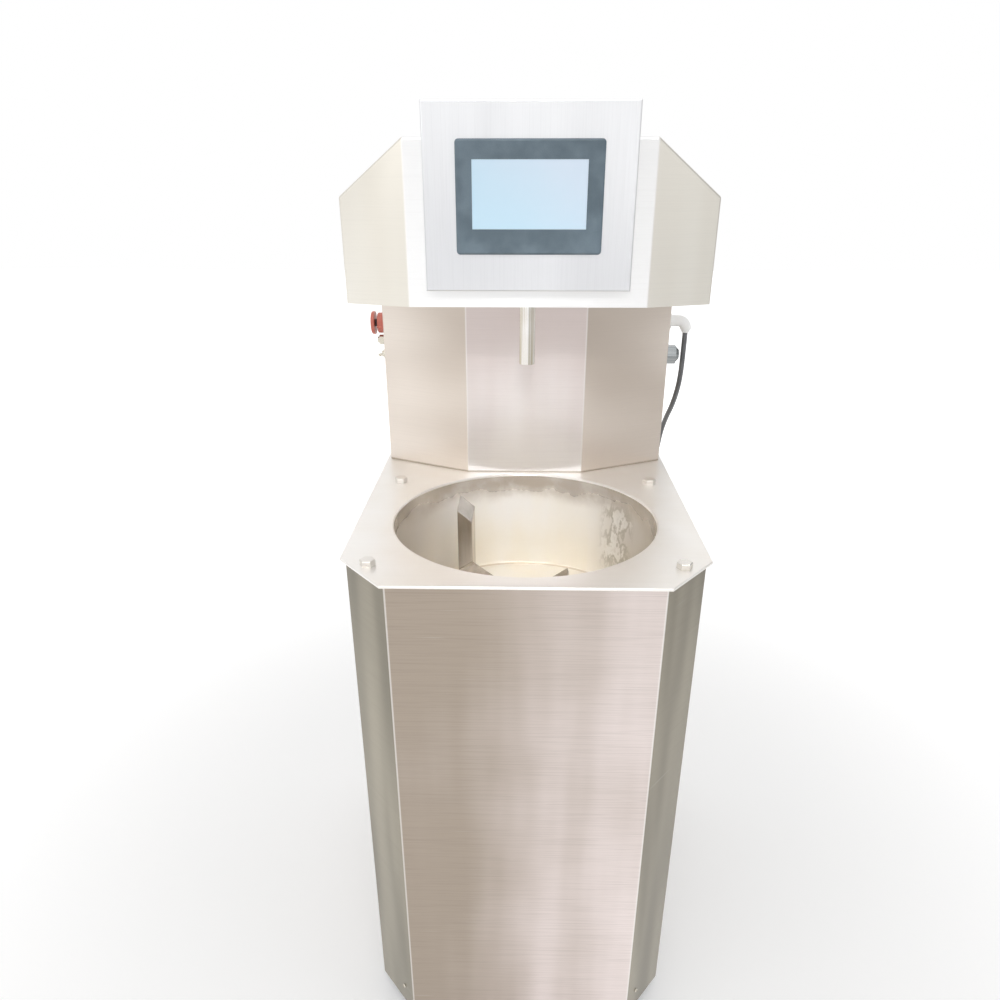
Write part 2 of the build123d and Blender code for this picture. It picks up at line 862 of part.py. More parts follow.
def stirrer_arm(plan, radius):
    """Square tube on edge, from the hub to its mitre under the post."""
    with BuildPart() as arm:
        along = Plane(origin=(0, bowl_y, arm_z), x_dir=plan.y_dir, z_dir=plan.x_dir)
        with BuildSketch(along):
            Rectangle(arm_side, arm_side, rotation=45)
        extrude(amount=radius + 2 * arm_side)
        split(bisect_by=across_arm(plan, radius, arm_z, -1), keep=Keep.BOTTOM)
    return arm.part


scraper_plan = arm_plan(arm_angle)
paddle_plan = arm_plan(arm_angle + 180)
scraper_arm = stirrer_arm(scraper_plan, scraper_radius)
paddle_arm = stirrer_arm(paddle_plan, paddle_radius)
wall_scraper = stirrer_post(scraper_plan, scraper_radius, scraper_top)
inner_paddle = stirrer_post(paddle_plan, paddle_radius, paddle_top)
with BuildPart() as stirrer_arms:
    add(scraper_arm)
    add(paddle_arm)
    with Locations((0, bowl_y, hub_bottom)):
        Cylinder(hub_radius, hub_height, align=BASE)
        Cylinder(shaft_radius + fit_gap, 2 * hub_height, mode=Mode.SUBTRACT)
    split(bisect_by=Plane.XY.offset(bowl_floor + arm_floor_gap), keep=Keep.TOP)

with BuildPart() as hub_nut:
    with BuildSketch(Plane((0, bowl_y, hub_top))):
        RegularPolygon(hub_nut_radius, 6)
    extrude(amount=hub_nut_height)
    with Locations((0, bowl_y, hub_top + hub_nut_height)):
        Cone(hub_nut_radius * 0.8, hub_nut_radius * 0.35, hub_nut_dome, align=BASE)
    with Locations((0, bowl_y, hub_top)):
        Cylinder(shaft_end_radius + fit_gap, 2 * shaft_end_length, mode=Mode.SUBTRACT)

drive_shaft = round_piece(bowl_section, bowl_axis, [
    (0, stirrer_shaft_bottom),
    (shaft_radius, stirrer_shaft_bottom),
    (shaft_radius, hub_top),
    (shaft_end_radius, hub_top),
    (shaft_end_radius, hub_top + shaft_end_length),
    (0, hub_top + shaft_end_length),
])

# Shaft seal in the bowl's boss, and the bearings in their housing below it
shaft_seal = round_piece(bowl_section, bowl_axis, [
    (shaft_radius + fit_gap, jacket_under + bowl_wall),
    (boss_bore - fit_gap, jacket_under + bowl_wall),
    (boss_bore - fit_gap, bowl_floor),
    (seal_flange_radius, bowl_floor),
    (seal_flange_radius, bowl_floor + seal_flange_height),
    (shaft_radius + fit_gap, bowl_floor + seal_flange_height),
])
housing_flange_under = jacket_under - housing_flange_height
bearing_housing = round_piece(bowl_section, bowl_axis, [
    (boss_bore, jacket_under),
    (housing_flange_radius, jacket_under),
    (housing_flange_radius, housing_flange_under),
    (housing_radius, housing_flange_under),
    (housing_radius, jacket_under - housing_height),
    (bearing_radius + fit_gap, jacket_under - housing_height),
    (bearing_radius + fit_gap, housing_flange_under),
    (boss_bore, housing_flange_under),
])
with BuildPart() as shaft_bearings:
    for level in (housing_flange_under, housing_flange_under - bearing_pitch):
        with Locations((0, bowl_y, level)):
            Cylinder(bearing_radius, bearing_width, align=HANG)
            Cylinder(shaft_radius + fit_gap, 4 * bearing_width, mode=Mode.SUBTRACT)


def coupling(section, axis, bottom, height, grip_radius):
    """Shaft coupling: a gripping bore above, and a spigot down into the gearbox."""
    top = bottom + height
    return round_piece(section, axis, [
        (0, beam_top - spigot_length),
        (spigot_radius, beam_top - spigot_length),
        (spigot_radius, bottom),
        (coupling_radius, bottom),
        (coupling_radius, top),
        (grip_radius + fit_gap, top),
        (grip_radius + fit_gap, top - coupling_grip),
        (0, top - coupling_grip),
    ])


def gearmotor(y):
    """Gearmotor hung under the drive plate, with its finned motor and fan cowl downwards."""
    case_under = beam_top - gear_flange_height - gear_case_height
    motor_under = case_under - motor_height
    with BuildPart() as unit:
        with Locations((0, y, beam_top)):
            Cylinder(gear_flange_radius, gear_flange_height, align=HANG)
        with Locations((0, y, beam_top - gear_flange_height)):
            Cylinder(gear_case_radius, gear_case_height, align=HANG)
        with Locations((0, y, case_under)):
            Cylinder(motor_radius - motor_fin_height, motor_height, align=HANG)
        with BuildSketch(Plane((0, y, motor_under))):
            with PolarLocations(motor_radius - motor_fin_height, motor_fins):
                Rectangle(2 * motor_fin_height, motor_fin_width)
        extrude(amount=motor_height)
        with Locations((0, y, motor_under)):
            Cylinder(motor_cowl_radius, motor_cowl_height, align=HANG)
        with Locations((motor_radius, y, case_under - motor_height / 2)):
            Box(terminal_box_depth, terminal_box_width, terminal_box_height)
        with Locations((0, y, beam_top)):
            Cylinder(spigot_radius + fit_gap, 2 * spigot_length, mode=Mode.SUBTRACT)
    return unit.part


stirrer_coupling = coupling(bowl_section, bowl_axis, stirrer_coupling_bottom, coupling_height, shaft_radius)
stirrer_gearmotor = gearmotor(bowl_y)

# Plate across the frame's beams that carries both gearmotors
drive_plate_depth = drive_plate_rear - drive_plate_front
with BuildPart() as drive_plate:
    with BuildSketch(Plane.XY.offset(beam_top)):
        with Locations((0, drive_plate_front)):
            Rectangle(2 * frame_side, drive_plate_depth, align=(Align.CENTER, Align.MIN))
        with Locations((0, bowl_y), (0, cylinder_y)):
            Circle(drive_hole_radius, mode=Mode.SUBTRACT)
        window_y = (bowl_y + cylinder_y) / 2
        with Locations((drive_window_width, window_y), (-drive_window_width, window_y)):
            Rectangle(drive_window_width, drive_window_depth, mode=Mode.SUBTRACT)
    extrude(amount=drive_plate_thickness)

# Tempering cylinder with its screw, standing on a lantern over the drive plate
cylinder_base = round_piece(cylinder_section, cylinder_axis, [
    (lantern_bore, drive_plate_top),
    (lantern_flange_radius, drive_plate_top),
    (lantern_flange_radius, drive_plate_top + lantern_flange_height),
    (lantern_radius, drive_plate_top + lantern_flange_height),
    (lantern_radius, cylinder_bottom),
    (screw_core_radius + fit_gap, cylinder_bottom),
    (screw_core_radius + fit_gap, cylinder_bottom - lantern_top_height),
    (lantern_bore, cylinder_bottom - lantern_top_height),
])
with BuildPart() as tempering_cylinder:
    with Locations((0, cylinder_y, cylinder_bottom)):
        Cylinder(cylinder_radius, cylinder_top - cylinder_bottom, align=BASE)
        Cylinder(cylinder_radius - cylinder_wall, 3 * cylinder_top, mode=Mode.SUBTRACT)
    with Locations((0, cylinder_y, feed_z)):
        Cylinder(
            feed_radius - feed_wall,
            2 * cylinder_radius,
            rotation=(90, 0, 0),
            align=BASE,
            mode=Mode.SUBTRACT,
        )
    with Locations((0, cylinder_y, spout_z)):
        Cylinder(
            nozzle_radius + fit_gap,
            2 * cylinder_radius,
            rotation=(90, 0, 0),
            align=BASE,
            mode=Mode.SUBTRACT,
        )

screw_top = cylinder_top - cap_spigot_height - screw_end_gap
flight_bottom = cylinder_bottom + flight_start
flight_inner = screw_core_radius - flight_root
flight_height = cylinder_top - flight_bottom - flight_end_gap
flight_middle = (screw_radius_outer + flight_inner) / 2
with BuildPart() as auger_screw:
    with BuildLine():
        flight_path = Helix(screw_pitch, flight_height, flight_middle, center=(0, cylinder_y, flight_bottom))
    with BuildSketch(Plane(origin=flight_path @ 0, x_dir=(1, 0, 0), z_dir=flight_path % 0)):
        Rectangle(screw_radius_outer - flight_inner, flight_thickness)
    sweep(path=flight_path, is_frenet=True)
    with Locations((0, cylinder_y, auger_shaft_bottom)):
        Cylinder(screw_core_radius, screw_top - auger_shaft_bottom, align=BASE)
    with Locations((0, cylinder_y, screw_top)):
        Cylinder(screw_journal_radius, screw_journal_length, align=BASE)

cylinder_cap = round_piece(cylinder_section, cylinder_axis, [
    (screw_journal_radius + fit_gap, cylinder_top - cap_spigot_height),
    (cylinder_radius - cylinder_wall - fit_gap, cylinder_top - cap_spigot_height),
    (cylinder_radius - cylinder_wall - fit_gap, cylinder_top),
    (cap_radius, cylinder_top),
    (cap_radius, cylinder_top + cap_height),
    (0, cylinder_top + cap_height),
    (0, screw_top + screw_journal_length + screw_end_gap),
    (screw_journal_radius + fit_gap, screw_top + screw_journal_length + screw_end_gap),
])
cooling_bottom = cylinder_bottom + cooling_start
cooling_top = cylinder_top - cooling_end_gap
cooling_jacket = round_piece(cylinder_section, cylinder_axis, [
    (cylinder_radius + fit_gap, cooling_bottom),
    (cooling_radius, cooling_bottom),
    (cooling_radius, cooling_top),
    (cylinder_radius + fit_gap, cooling_top),
    (cylinder_radius + fit_gap, cooling_top - cooling_end_height),
    (cooling_radius - cooling_wall, cooling_top - cooling_end_height),
    (cooling_radius - cooling_wall, cooling_bottom + cooling_end_height),
    (cylinder_radius + fit_gap, cooling_bottom + cooling_end_height),
])
auger_coupling = coupling(
    cylinder_section, cylinder_axis, auger_coupling_bottom, auger_coupling_height, screw_core_radius
)
auger_gearmotor = gearmotor(cylinder_y)

# Feed pipe from the bowl's outlet to the cylinder, and spout pipe from the cylinder to the nozzle
with BuildPart() as feed_pipe:
    with BuildLine():
        feed_path = FilletPolyline(
            (0, outlet_y, bowl_under),
            (0, outlet_y, feed_z),
            (0, cylinder_y, feed_z),
            radius=feed_bend,
        )
    with BuildSketch(Plane.XY.offset(bowl_under).move(Location((0, outlet_y, 0)))):
        Circle(feed_radius)
        Circle(feed_radius - feed_wall, mode=Mode.SUBTRACT)
    sweep(path=feed_path)
    with Locations((0, cylinder_y, feed_z)):
        Cylinder(cylinder_radius, 4 * feed_radius, mode=Mode.SUBTRACT)

spout_bore = nozzle_radius + fit_gap
floor_top = column_top + sheet
with BuildPart() as spout_pipe:
    with BuildLine():
        spout_path = FilletPolyline(
            (0, cylinder_y, spout_z),
            (0, bowl_y, spout_z),
            (0, bowl_y, floor_top + spout_floor_gap),
            radius=spout_bend,
        )
    with BuildSketch(Plane.XZ.offset(-cylinder_y)):
        with Locations((0, spout_z)):
            Circle(spout_bore + spout_wall)
            Circle(spout_bore, mode=Mode.SUBTRACT)
    sweep(path=spout_path)
    with Locations((0, cylinder_y, spout_z)):
        Cylinder(cylinder_radius, 4 * spout_bore, mode=Mode.SUBTRACT)

nozzle_top = floor_top + spout_floor_gap + nozzle_grip
spout_nozzle = round_piece(bowl_section, bowl_axis, [
    (nozzle_radius - nozzle_wall, nozzle_end),
    (nozzle_radius, nozzle_end),
    (nozzle_radius, nozzle_top),
    (nozzle_radius - nozzle_wall, nozzle_top),
])

# Cooling unit on the base pan: compressor, condenser, and the fan in its shroud
compressor_bottom = pan_top + compressor_foot_height
with BuildPart() as compressor:
    with Locations((compressor_x, compressor_y, compressor_bottom)):
        Box(2 * compressor_half, 2 * compressor_half, compressor_base, align=BASE)
        Cylinder(compressor_radius, compressor_body_height, align=BASE)
    with Locations((compressor_x, compressor_y, compressor_bottom + compressor_body_height)):
        Cone(compressor_radius, compressor_radius * 0.45, compressor_dome_height, align=BASE)
    with BuildSketch(Plane((compressor_x, compressor_y, pan_top))):
        with GridLocations(compressor_foot_spread, compressor_foot_spread, 2, 2):
            Circle(compressor_foot_radius)
    extrude(amount=compressor_foot_height)

fin_pitch = (condenser_width - condenser_fin) / (condenser_fins - 1)
tube_pitch = condenser_height / condenser_tube_rows
condenser_middle = (condenser_front + condenser_rear) / 2
with BuildPart() as condenser:
    with Locations((condenser_x, condenser_middle, pan_top + condenser_height / 2)):
        with GridLocations(fin_pitch, 1, condenser_fins, 1):
            Box(condenser_fin, condenser_depth, condenser_height)
    with BuildSketch(Plane((condenser_x, condenser_middle, fan_z), x_dir=(0, 1, 0), z_dir=(1, 0, 0))):
        with GridLocations(condenser_depth / 2, tube_pitch, 2, condenser_tube_rows):
            Circle(condenser_tube_radius)
    extrude(amount=condenser_width / 2 + condenser_tube_end, both=True)

fan_plane = Plane((condenser_x, condenser_front, fan_z), x_dir=(1, 0, 0), z_dir=(0, -1, 0))
with BuildPart() as fan_shroud:
    with BuildSketch(fan_plane):
        Rectangle(condenser_width, condenser_height)
        Rectangle(condenser_width - 2 * shroud_wall, condenser_height - 2 * shroud_wall, mode=Mode.SUBTRACT)
    extrude(amount=shroud_depth)
    with BuildSketch(fan_plane.offset(shroud_depth - shroud_wall)):
        Rectangle(condenser_width, condenser_height)
        Circle(fan_radius + fan_tip_gap, mode=Mode.SUBTRACT)
    extrude(amount=shroud_wall)
    with BuildSketch(fan_plane.offset(shroud_depth)):
        with PolarLocations(fan_radius / 2 + fan_tip_gap + fan_arm_width / 2, 3, start_angle=90):
            Rectangle(fan_radius + 2 * fan_arm_width, fan_arm_width)
    extrude(amount=fan_arm_thickness)
    with BuildSketch(fan_plane.offset(shroud_depth)):
        Circle(fan_motor_radius)
    extrude(amount=fan_motor_length)
    with BuildSketch(fan_plane.offset(shroud_depth)):
        Circle(fan_shaft_radius + fit_gap)
    extrude(amount=fan_motor_length / 2, mode=Mode.SUBTRACT)

fan_middle = shroud_depth / 2
with BuildPart() as fan_rotor:
    with BuildSketch(fan_plane.offset(fan_hub_gap)):
        Circle(fan_hub_radius)
    extrude(amount=shroud_depth - 2 * fan_hub_gap)
    with BuildSketch(fan_plane.offset(fan_middle)):
        Circle(fan_shaft_radius)
    extrude(amount=shroud_depth / 2 + fan_motor_length / 2 - fan_shaft_gap)
    blade_length = fan_radius - fan_hub_radius / 2
    for blade in range(fan_blades):
        turn = radians(360 / fan_blades * blade)
        out = fan_plane.x_dir * cos(turn) + fan_plane.y_dir * sin(turn)
        round_hub = fan_plane.y_dir * cos(turn) - fan_plane.x_dir * sin(turn)
        chord = round_hub * cos(radians(fan_blade_pitch)) + fan_plane.z_dir * sin(radians(fan_blade_pitch))
        root = fan_plane.origin + fan_plane.z_dir * fan_middle + out * (fan_hub_radius / 2)
        with BuildSketch(Plane(origin=root, x_dir=chord, z_dir=out)):
            Rectangle(fan_blade_width, fan_blade_thickness)
        extrude(amount=blade_length)
    with BuildSketch(fan_plane):
        Circle(fan_radius)
    extrude(amount=shroud_depth, mode=Mode.INTERSECT)

# Column: one sheet with a narrow front and two angled faces, flanged for the rear cover
column_outline = mirrored([
    (column_half, cover_face),
    (column_half, column_fold_y),
    (column_front_half, column_front_y),
])
left_holes = [
    (e_stop_z, e_stop_barrel_radius),
    (push_z, push_barrel_radius),
    (toggle_z, toggle_tail_radius),
]
right_holes = [
    (gland_y, gland_z, gland_thread_radius),
    (controls_y, fitting_z, fitting_thread_radius),
]
with BuildPart() as column_shell:
    with BuildSketch(Plane.XY.offset(deck_top)) as column_plan:
        with BuildLine():
            Polyline(*column_outline, close=True)
        make_face()
        fillet(column_plan.vertices(), bend_radius)
        offset(amount=-sheet, mode=Mode.SUBTRACT)
        with Locations((0, cover_face)):
            Rectangle(2 * (column_half - rear_flange), 4 * sheet, mode=Mode.SUBTRACT)
    extrude(amount=column_height)
    for z, radius in left_holes:
        with Locations(left_face(z)):
            Cylinder(radius + seat_gap, 4 * sheet, mode=Mode.SUBTRACT)
    for y, z, radius in right_holes:
        with Locations(right_face(y, z)):
            Cylinder(radius + seat_gap, 4 * sheet, mode=Mode.SUBTRACT)
    with Locations(*cover_screws):
        Cylinder(screw_radius + fit_gap, 2 * screw_length, mode=Mode.SUBTRACT)

# Head: a faceted hood with sloped shoulders, open below and flanged for the rear cover
head_outline = mirrored([
    (column_half, cover_face),
    (column_half, head_fold_y),
    (head_front_half, head_front_y),
])
head_profile = mirrored([
    (column_half, column_top),
    (column_half, head_side_top),
    (head_front_half, head_top),
])
with BuildPart() as head_shell:
    with BuildSketch(Plane.XY.offset(column_top)):
        with BuildLine():
            Polyline(*head_outline, close=True)
        make_face()
    extrude(amount=head_height)
    with BuildSketch(Plane.XZ.offset(-cover_face)):
        with BuildLine():
            Polyline(*head_profile, close=True)
        make_face()
    extrude(amount=cover_face - head_front_y, mode=Mode.INTERSECT)
    head_bottom = head_shell.faces().sort_by(Axis.Z)[0]
    head_rear = head_shell.faces().sort_by(Axis.Y)[-1]
    kept_sharp = head_bottom.edges() + head_rear.edges()
    bends = [edge for edge in head_shell.edges() if edge not in kept_sharp]
    fillet(bends, bend_radius)
    offset(amount=-sheet, openings=head_shell.faces().sort_by(Axis.Z)[0])
    with BuildSketch(Plane.XZ.offset(-cover_face)):
        with BuildLine():
            Polyline(
                *mirrored([
                    (column_half - rear_flange, column_top - sheet),
                    (column_half - rear_flange, head_side_top - rear_flange / 2),
                    (head_front_half - rear_flange, head_top - rear_flange),
                ]),
                close=True,
            )
        make_face()
    extrude(amount=4 * sheet, mode=Mode.SUBTRACT)
    with BuildSketch(Plane.XZ.offset(-head_front_y)):
        with Locations((0, hmi_centre_z)):
            Rectangle(hmi_body_width + 2 * seat_gap, hmi_body_height + 2 * seat_gap)
    extrude(amount=4 * sheet, both=True, mode=Mode.SUBTRACT)
    with Locations(*cover_screws):
        Cylinder(screw_radius + fit_gap, 2 * screw_length, mode=Mode.SUBTRACT)

# Floor of the head, resting on the column's rim, open over the tempering cylinder
with BuildPart() as head_floor:
    with BuildSketch(Plane.XY.offset(column_top)) as floor_plan:
        with BuildLine():
            Polyline(*head_outline, close=True)
        make_face()
        offset(amount=-sheet - seat_gap, kind=Kind.INTERSECTION, mode=Mode.REPLACE)
        fillet(floor_plan.vertices().sort_by(Axis.Y)[:4], bend_radius)
        with Locations((0, bowl_y)):
            Circle(nozzle_radius + seat_gap, mode=Mode.SUBTRACT)
        with Locations((0, floor_opening_front)):
            Rectangle(
                2 * floor_opening_half,
                cover_face - floor_opening_front - 2 * rear_flange,
                align=(Align.CENTER, Align.MIN),
                mode=Mode.SUBTRACT,
            )
    extrude(amount=sheet)

# Screen panel: a shallow box on the head's front, its back closed above the head
with BuildPart() as screen_panel:
    with BuildSketch(Plane.XZ.offset(-head_front_y)):
        with Locations((0, screen_centre_z)):
            Rectangle(screen_width, screen_height)
    extrude(amount=screen_depth)
    fillet(screen_panel.faces().sort_by(Axis.Y)[0].edges(), screen_bend)
    offset(amount=-sheet, openings=screen_panel.faces().sort_by(Axis.Y)[-1])
    back_bottom = head_top - bend_radius - 2 * sheet
    with BuildSketch(Plane.XZ.offset(-head_front_y)):
        with Locations((0, back_bottom)):
            Rectangle(
                screen_width - sheet,
                screen_bottom + screen_height - back_bottom - sheet / 2,
                align=(Align.CENTER, Align.MIN),
            )
    extrude(amount=sheet)
    with BuildSketch(Plane.XZ.offset(-screen_face)):
        with Locations((0, hmi_centre_z)):
            Rectangle(hmi_body_width + 2 * seat_gap, hmi_body_height + 2 * seat_gap)
    extrude(amount=-2 * sheet, mode=Mode.SUBTRACT)

# Operator panel: a body with its bezel on the screen panel, and the display in the bezel
with BuildPart() as hmi_body:
    with BuildSketch(Plane.XZ.offset(-screen_face)):
        with Locations((0, hmi_centre_z)):
            RectangleRounded(hmi_width, hmi_height, hmi_corner)
    extrude(amount=hmi_bezel)
    chamfer(hmi_body.faces().sort_by(Axis.Y)[0].edges(), hmi_rim)
    with BuildSketch(Plane.XZ.offset(-screen_face)):
        with Locations((0, hmi_centre_z)):
            Rectangle(hmi_body_width, hmi_body_height)
    extrude(amount=-hmi_body_depth)
    with BuildSketch(Plane.XZ.offset(hmi_bezel - screen_face)):
        with Locations((0, display_centre_z)):
            Rectangle(display_width, display_height)
    extrude(amount=-display_thickness - display_recess, mode=Mode.SUBTRACT)

with BuildPart() as hmi_display:
    with BuildSketch(Plane.XZ.offset(hmi_bezel - screen_face - display_recess)):
        with Locations((0, display_centre_z)):
            Rectangle(display_width - 2 * fit_gap, display_height - 2 * fit_gap)
    extrude(amount=-display_thickness)

# Control gear: a plate standing on the deck behind the column's left face, with two rails
control_plate_back = control_plate_y + 2 * sheet
rail_levels = [deck_top + lower_rail_rise, deck_top + control_plate_height - upper_rail_drop]
with BuildPart() as control_plate:
    with BuildSketch(Plane.XY.offset(deck_top)):
        with Locations((control_plate_x, control_plate_y)):
            Rectangle(control_plate_width, 2 * sheet, align=(Align.CENTER, Align.MIN))
    extrude(amount=control_plate_height)
    with BuildSketch(Plane.XY.offset(deck_top)):
        with Locations((control_plate_x, control_plate_y)):
            Rectangle(control_plate_width, control_foot, align=(Align.CENTER, Align.MIN))
    extrude(amount=2 * sheet)
    with Locations(*[(control_plate_x, control_plate_back, z) for z in rail_levels]):
        Box(control_plate_width, rail_depth, rail_height, align=(Align.CENTER, Align.MIN, Align.CENTER))

rail_face = control_plate_back + rail_depth
with BuildPart() as controller:
    with Locations((control_plate_x, rail_face, rail_levels[1])):
        Box(
            controller_width,
            controller_depth,
            controller_height,
            align=(Align.CENTER, Align.MIN, Align.CENTER),
        )
    chamfer(controller.faces().sort_by(Axis.Y)[-1].edges().filter_by(Axis.X), controller_depth / 5)

with BuildPart() as contactors:
    with Locations((control_plate_x, rail_face, rail_levels[0])):
        with GridLocations(contactor_pitch, 1, contactor_count, 1):
            Box(
                contactor_width,
                contactor_depth / 2,
                contactor_height,
                align=(Align.CENTER, Align.MIN, Align.CENTER),
            )
            Box(
                contactor_width,
                contactor_depth,
                contactor_height / 2,
                align=(Align.CENTER, Align.MIN, Align.CENTER),
            )

# Emergency stop: collar and switch block, sliding stem, and a cap that twists on the stem
e_stop_under = e_stop_reach - e_stop_cap_height
e_stop_tail = e_stop_barrel_length - e_stop_travel - e_stop_block_gap
with BuildPart() as e_stop_body:
    with BuildSketch(left_face(e_stop_z)):
        Circle(e_stop_collar_radius)
    extrude(amount=e_stop_collar_height)
    chamfer(e_stop_body.faces().sort_by(Axis.X)[0].edges(), edge_break)
    with BuildSketch(left_face(e_stop_z)):
        Circle(e_stop_barrel_radius)
    extrude(amount=-e_stop_barrel_length)
    with BuildSketch(left_face(e_stop_z).offset(-sheet)):
        Circle(e_stop_nut_radius)
    extrude(amount=-2 * sheet)
    with BuildSketch(left_face(e_stop_z).offset(-e_stop_barrel_length)):
        Rectangle(e_stop_block_side, e_stop_block_side)
    extrude(amount=-e_stop_block_depth)
    with BuildSketch(left_face(e_stop_z).offset(e_stop_collar_height)):
        Circle(e_stop_stem_radius + slide_gap)
    extrude(amount=-e_stop_collar_height - e_stop_tail - e_stop_travel - e_stop_end_gap, mode=Mode.SUBTRACT)

with BuildPart() as e_stop_stem:
    with BuildSketch(left_face(e_stop_z).offset(-e_stop_tail)):
        Circle(e_stop_stem_radius)
    extrude(amount=e_stop_tail + e_stop_under - slide_gap)
    with BuildSketch(left_face(e_stop_z).offset(e_stop_under - slide_gap)):
        Circle(e_stop_spigot_radius)
    extrude(amount=e_stop_spigot_length)

with BuildPart() as e_stop_cap:
    with BuildSketch(left_face(e_stop_z).offset(e_stop_under)):
        Circle(e_stop_cap_radius)
    extrude(amount=e_stop_cap_height)
    fillet(e_stop_cap.faces().sort_by(Axis.X)[0].edges(), e_stop_cap_height * 0.5)
    with BuildSketch(left_face(e_stop_z).offset(e_stop_under)):
        Circle(e_stop_spigot_radius + slide_gap)
    extrude(amount=e_stop_spigot_length, mode=Mode.SUBTRACT)

# Push button in its collar
with BuildPart() as push_collar:
    with BuildSketch(left_face(push_z)):
        RegularPolygon(push_collar_radius, 8)
    extrude(amount=push_collar_height)
    with BuildSketch(left_face(push_z)):
        Circle(push_barrel_radius)
    extrude(amount=-push_barrel_length)
    with BuildSketch(left_face(push_z).offset(-sheet)):
        RegularPolygon(push_barrel_radius + 4 * sheet, 6)
    extrude(amount=-2 * sheet)
    with BuildSketch(left_face(push_z).offset(push_collar_height)):
        Circle(push_radius + slide_gap)
    extrude(amount=-push_collar_height - push_tail - push_travel - push_end_gap, mode=Mode.SUBTRACT)

with BuildPart() as push_button:
    with BuildSketch(left_face(push_z).offset(-push_tail)):
        Circle(push_radius)
    extrude(amount=push_tail + push_reach)
    chamfer(push_button.faces().sort_by(Axis.X)[0].edges(), edge_break)

# Toggle switch: nut and bush on the column, and the lever on its ball
with BuildPart() as toggle_bush:
    with BuildSketch(left_face(toggle_z)):
        RegularPolygon(toggle_nut_radius, 6)
    extrude(amount=toggle_nut_height)
    with BuildSketch(left_face(toggle_z)):
        Circle(toggle_bush_radius)
    extrude(amount=toggle_bush_height)
    with BuildSketch(left_face(toggle_z)):
        Circle(toggle_tail_radius)
    extrude(amount=-toggle_tail_length)
    with BuildSketch(left_face(toggle_z).offset(-sheet)):
        RegularPolygon(toggle_tail_radius + 4 * sheet, 6)
    extrude(amount=-2 * sheet)
    with BuildSketch(left_face(toggle_z).offset(toggle_bush_height)):
        Circle(toggle_bore)
    extrude(amount=toggle_pivot - toggle_bush_height - toggle_ball_radius - slide_gap, mode=Mode.SUBTRACT)

toggle_pivot_point = Vector(-column_half - toggle_pivot, controls_y, toggle_z)
toggle_down = Plane(
    origin=toggle_pivot_point,
    x_dir=(0, 1, 0),
    z_dir=(-cos(radians(toggle_rest_angle)), 0, -sin(radians(toggle_rest_angle))),
)
with BuildPart() as toggle_lever:
    with Locations(toggle_pivot_point):
        Sphere(toggle_ball_radius)
    with Locations(toggle_down):
        Cone(toggle_lever_root, toggle_lever_tip, toggle_lever_length, align=BASE)
    with Locations(toggle_down.offset(toggle_lever_length)):
        Sphere(toggle_lever_tip)

# Jacket filling fitting: a hexagon with a tapered nose, and a hose tail inside
with BuildPart() as fill_fitting:
    with BuildSketch(right_face(controls_y, fitting_z)):
        RegularPolygon(fitting_hex_radius, 6)
    extrude(amount=fitting_hex_height)
    with Locations(right_face(controls_y, fitting_z).offset(fitting_hex_height)):
        Cone(fitting_nose_root, fitting_nose_tip, e_stop_reach - fitting_hex_height, align=BASE)
    with BuildSketch(right_face(controls_y, fitting_z)):
        Circle(fitting_thread_radius)
    extrude(amount=-fitting_tail_length)
    with BuildSketch(right_face(controls_y, fitting_z).offset(-sheet)):
        RegularPolygon(fitting_hex_radius, 6)
    extrude(amount=-fitting_hex_height / 3)
    with BuildSketch(right_face(controls_y, fitting_z).offset(-fitting_tail_length)):
        Circle(fitting_bore)
    extrude(amount=fitting_tail_length + fitting_hex_height, mode=Mode.SUBTRACT)

# Elbow gland for the mains lead, pointing down
gland_face = right_face(gland_y, gland_z)
gland_exit_x = column_half + gland_reach
gland_elbow_z = gland_z - gland_drop
gland_exit_z = gland_elbow_z - gland_nose_length
coil_x = gland_exit_x - coil_from_gland
coil_y = deck_depth / 2 + coil_behind_deck
with BuildPart() as gland_elbow:
    with BuildLine():
        gland_path = FilletPolyline(
            (column_half, gland_y, gland_z),
            (gland_exit_x, gland_y, gland_z),
            (gland_exit_x, gland_y, gland_elbow_z),
            radius=gland_bend,
        )
    with BuildSketch(gland_face):
        Circle(gland_radius)
    sweep(path=gland_path)
    with Locations((gland_exit_x, gland_y, gland_exit_z)):
        Cone(gland_nose_tip, gland_nose_root, gland_nose_length, align=BASE)
    with BuildSketch(gland_face):
        RegularPolygon(gland_nut_radius, 6)
    extrude(amount=gland_nut_height)
    with BuildSketch(gland_face):
        Circle(gland_thread_radius)
    extrude(amount=-gland_thread_length)
    with BuildSketch(gland_face.offset(-sheet)):
        RegularPolygon(gland_nut_radius, 6)
    extrude(amount=-gland_locknut_height)

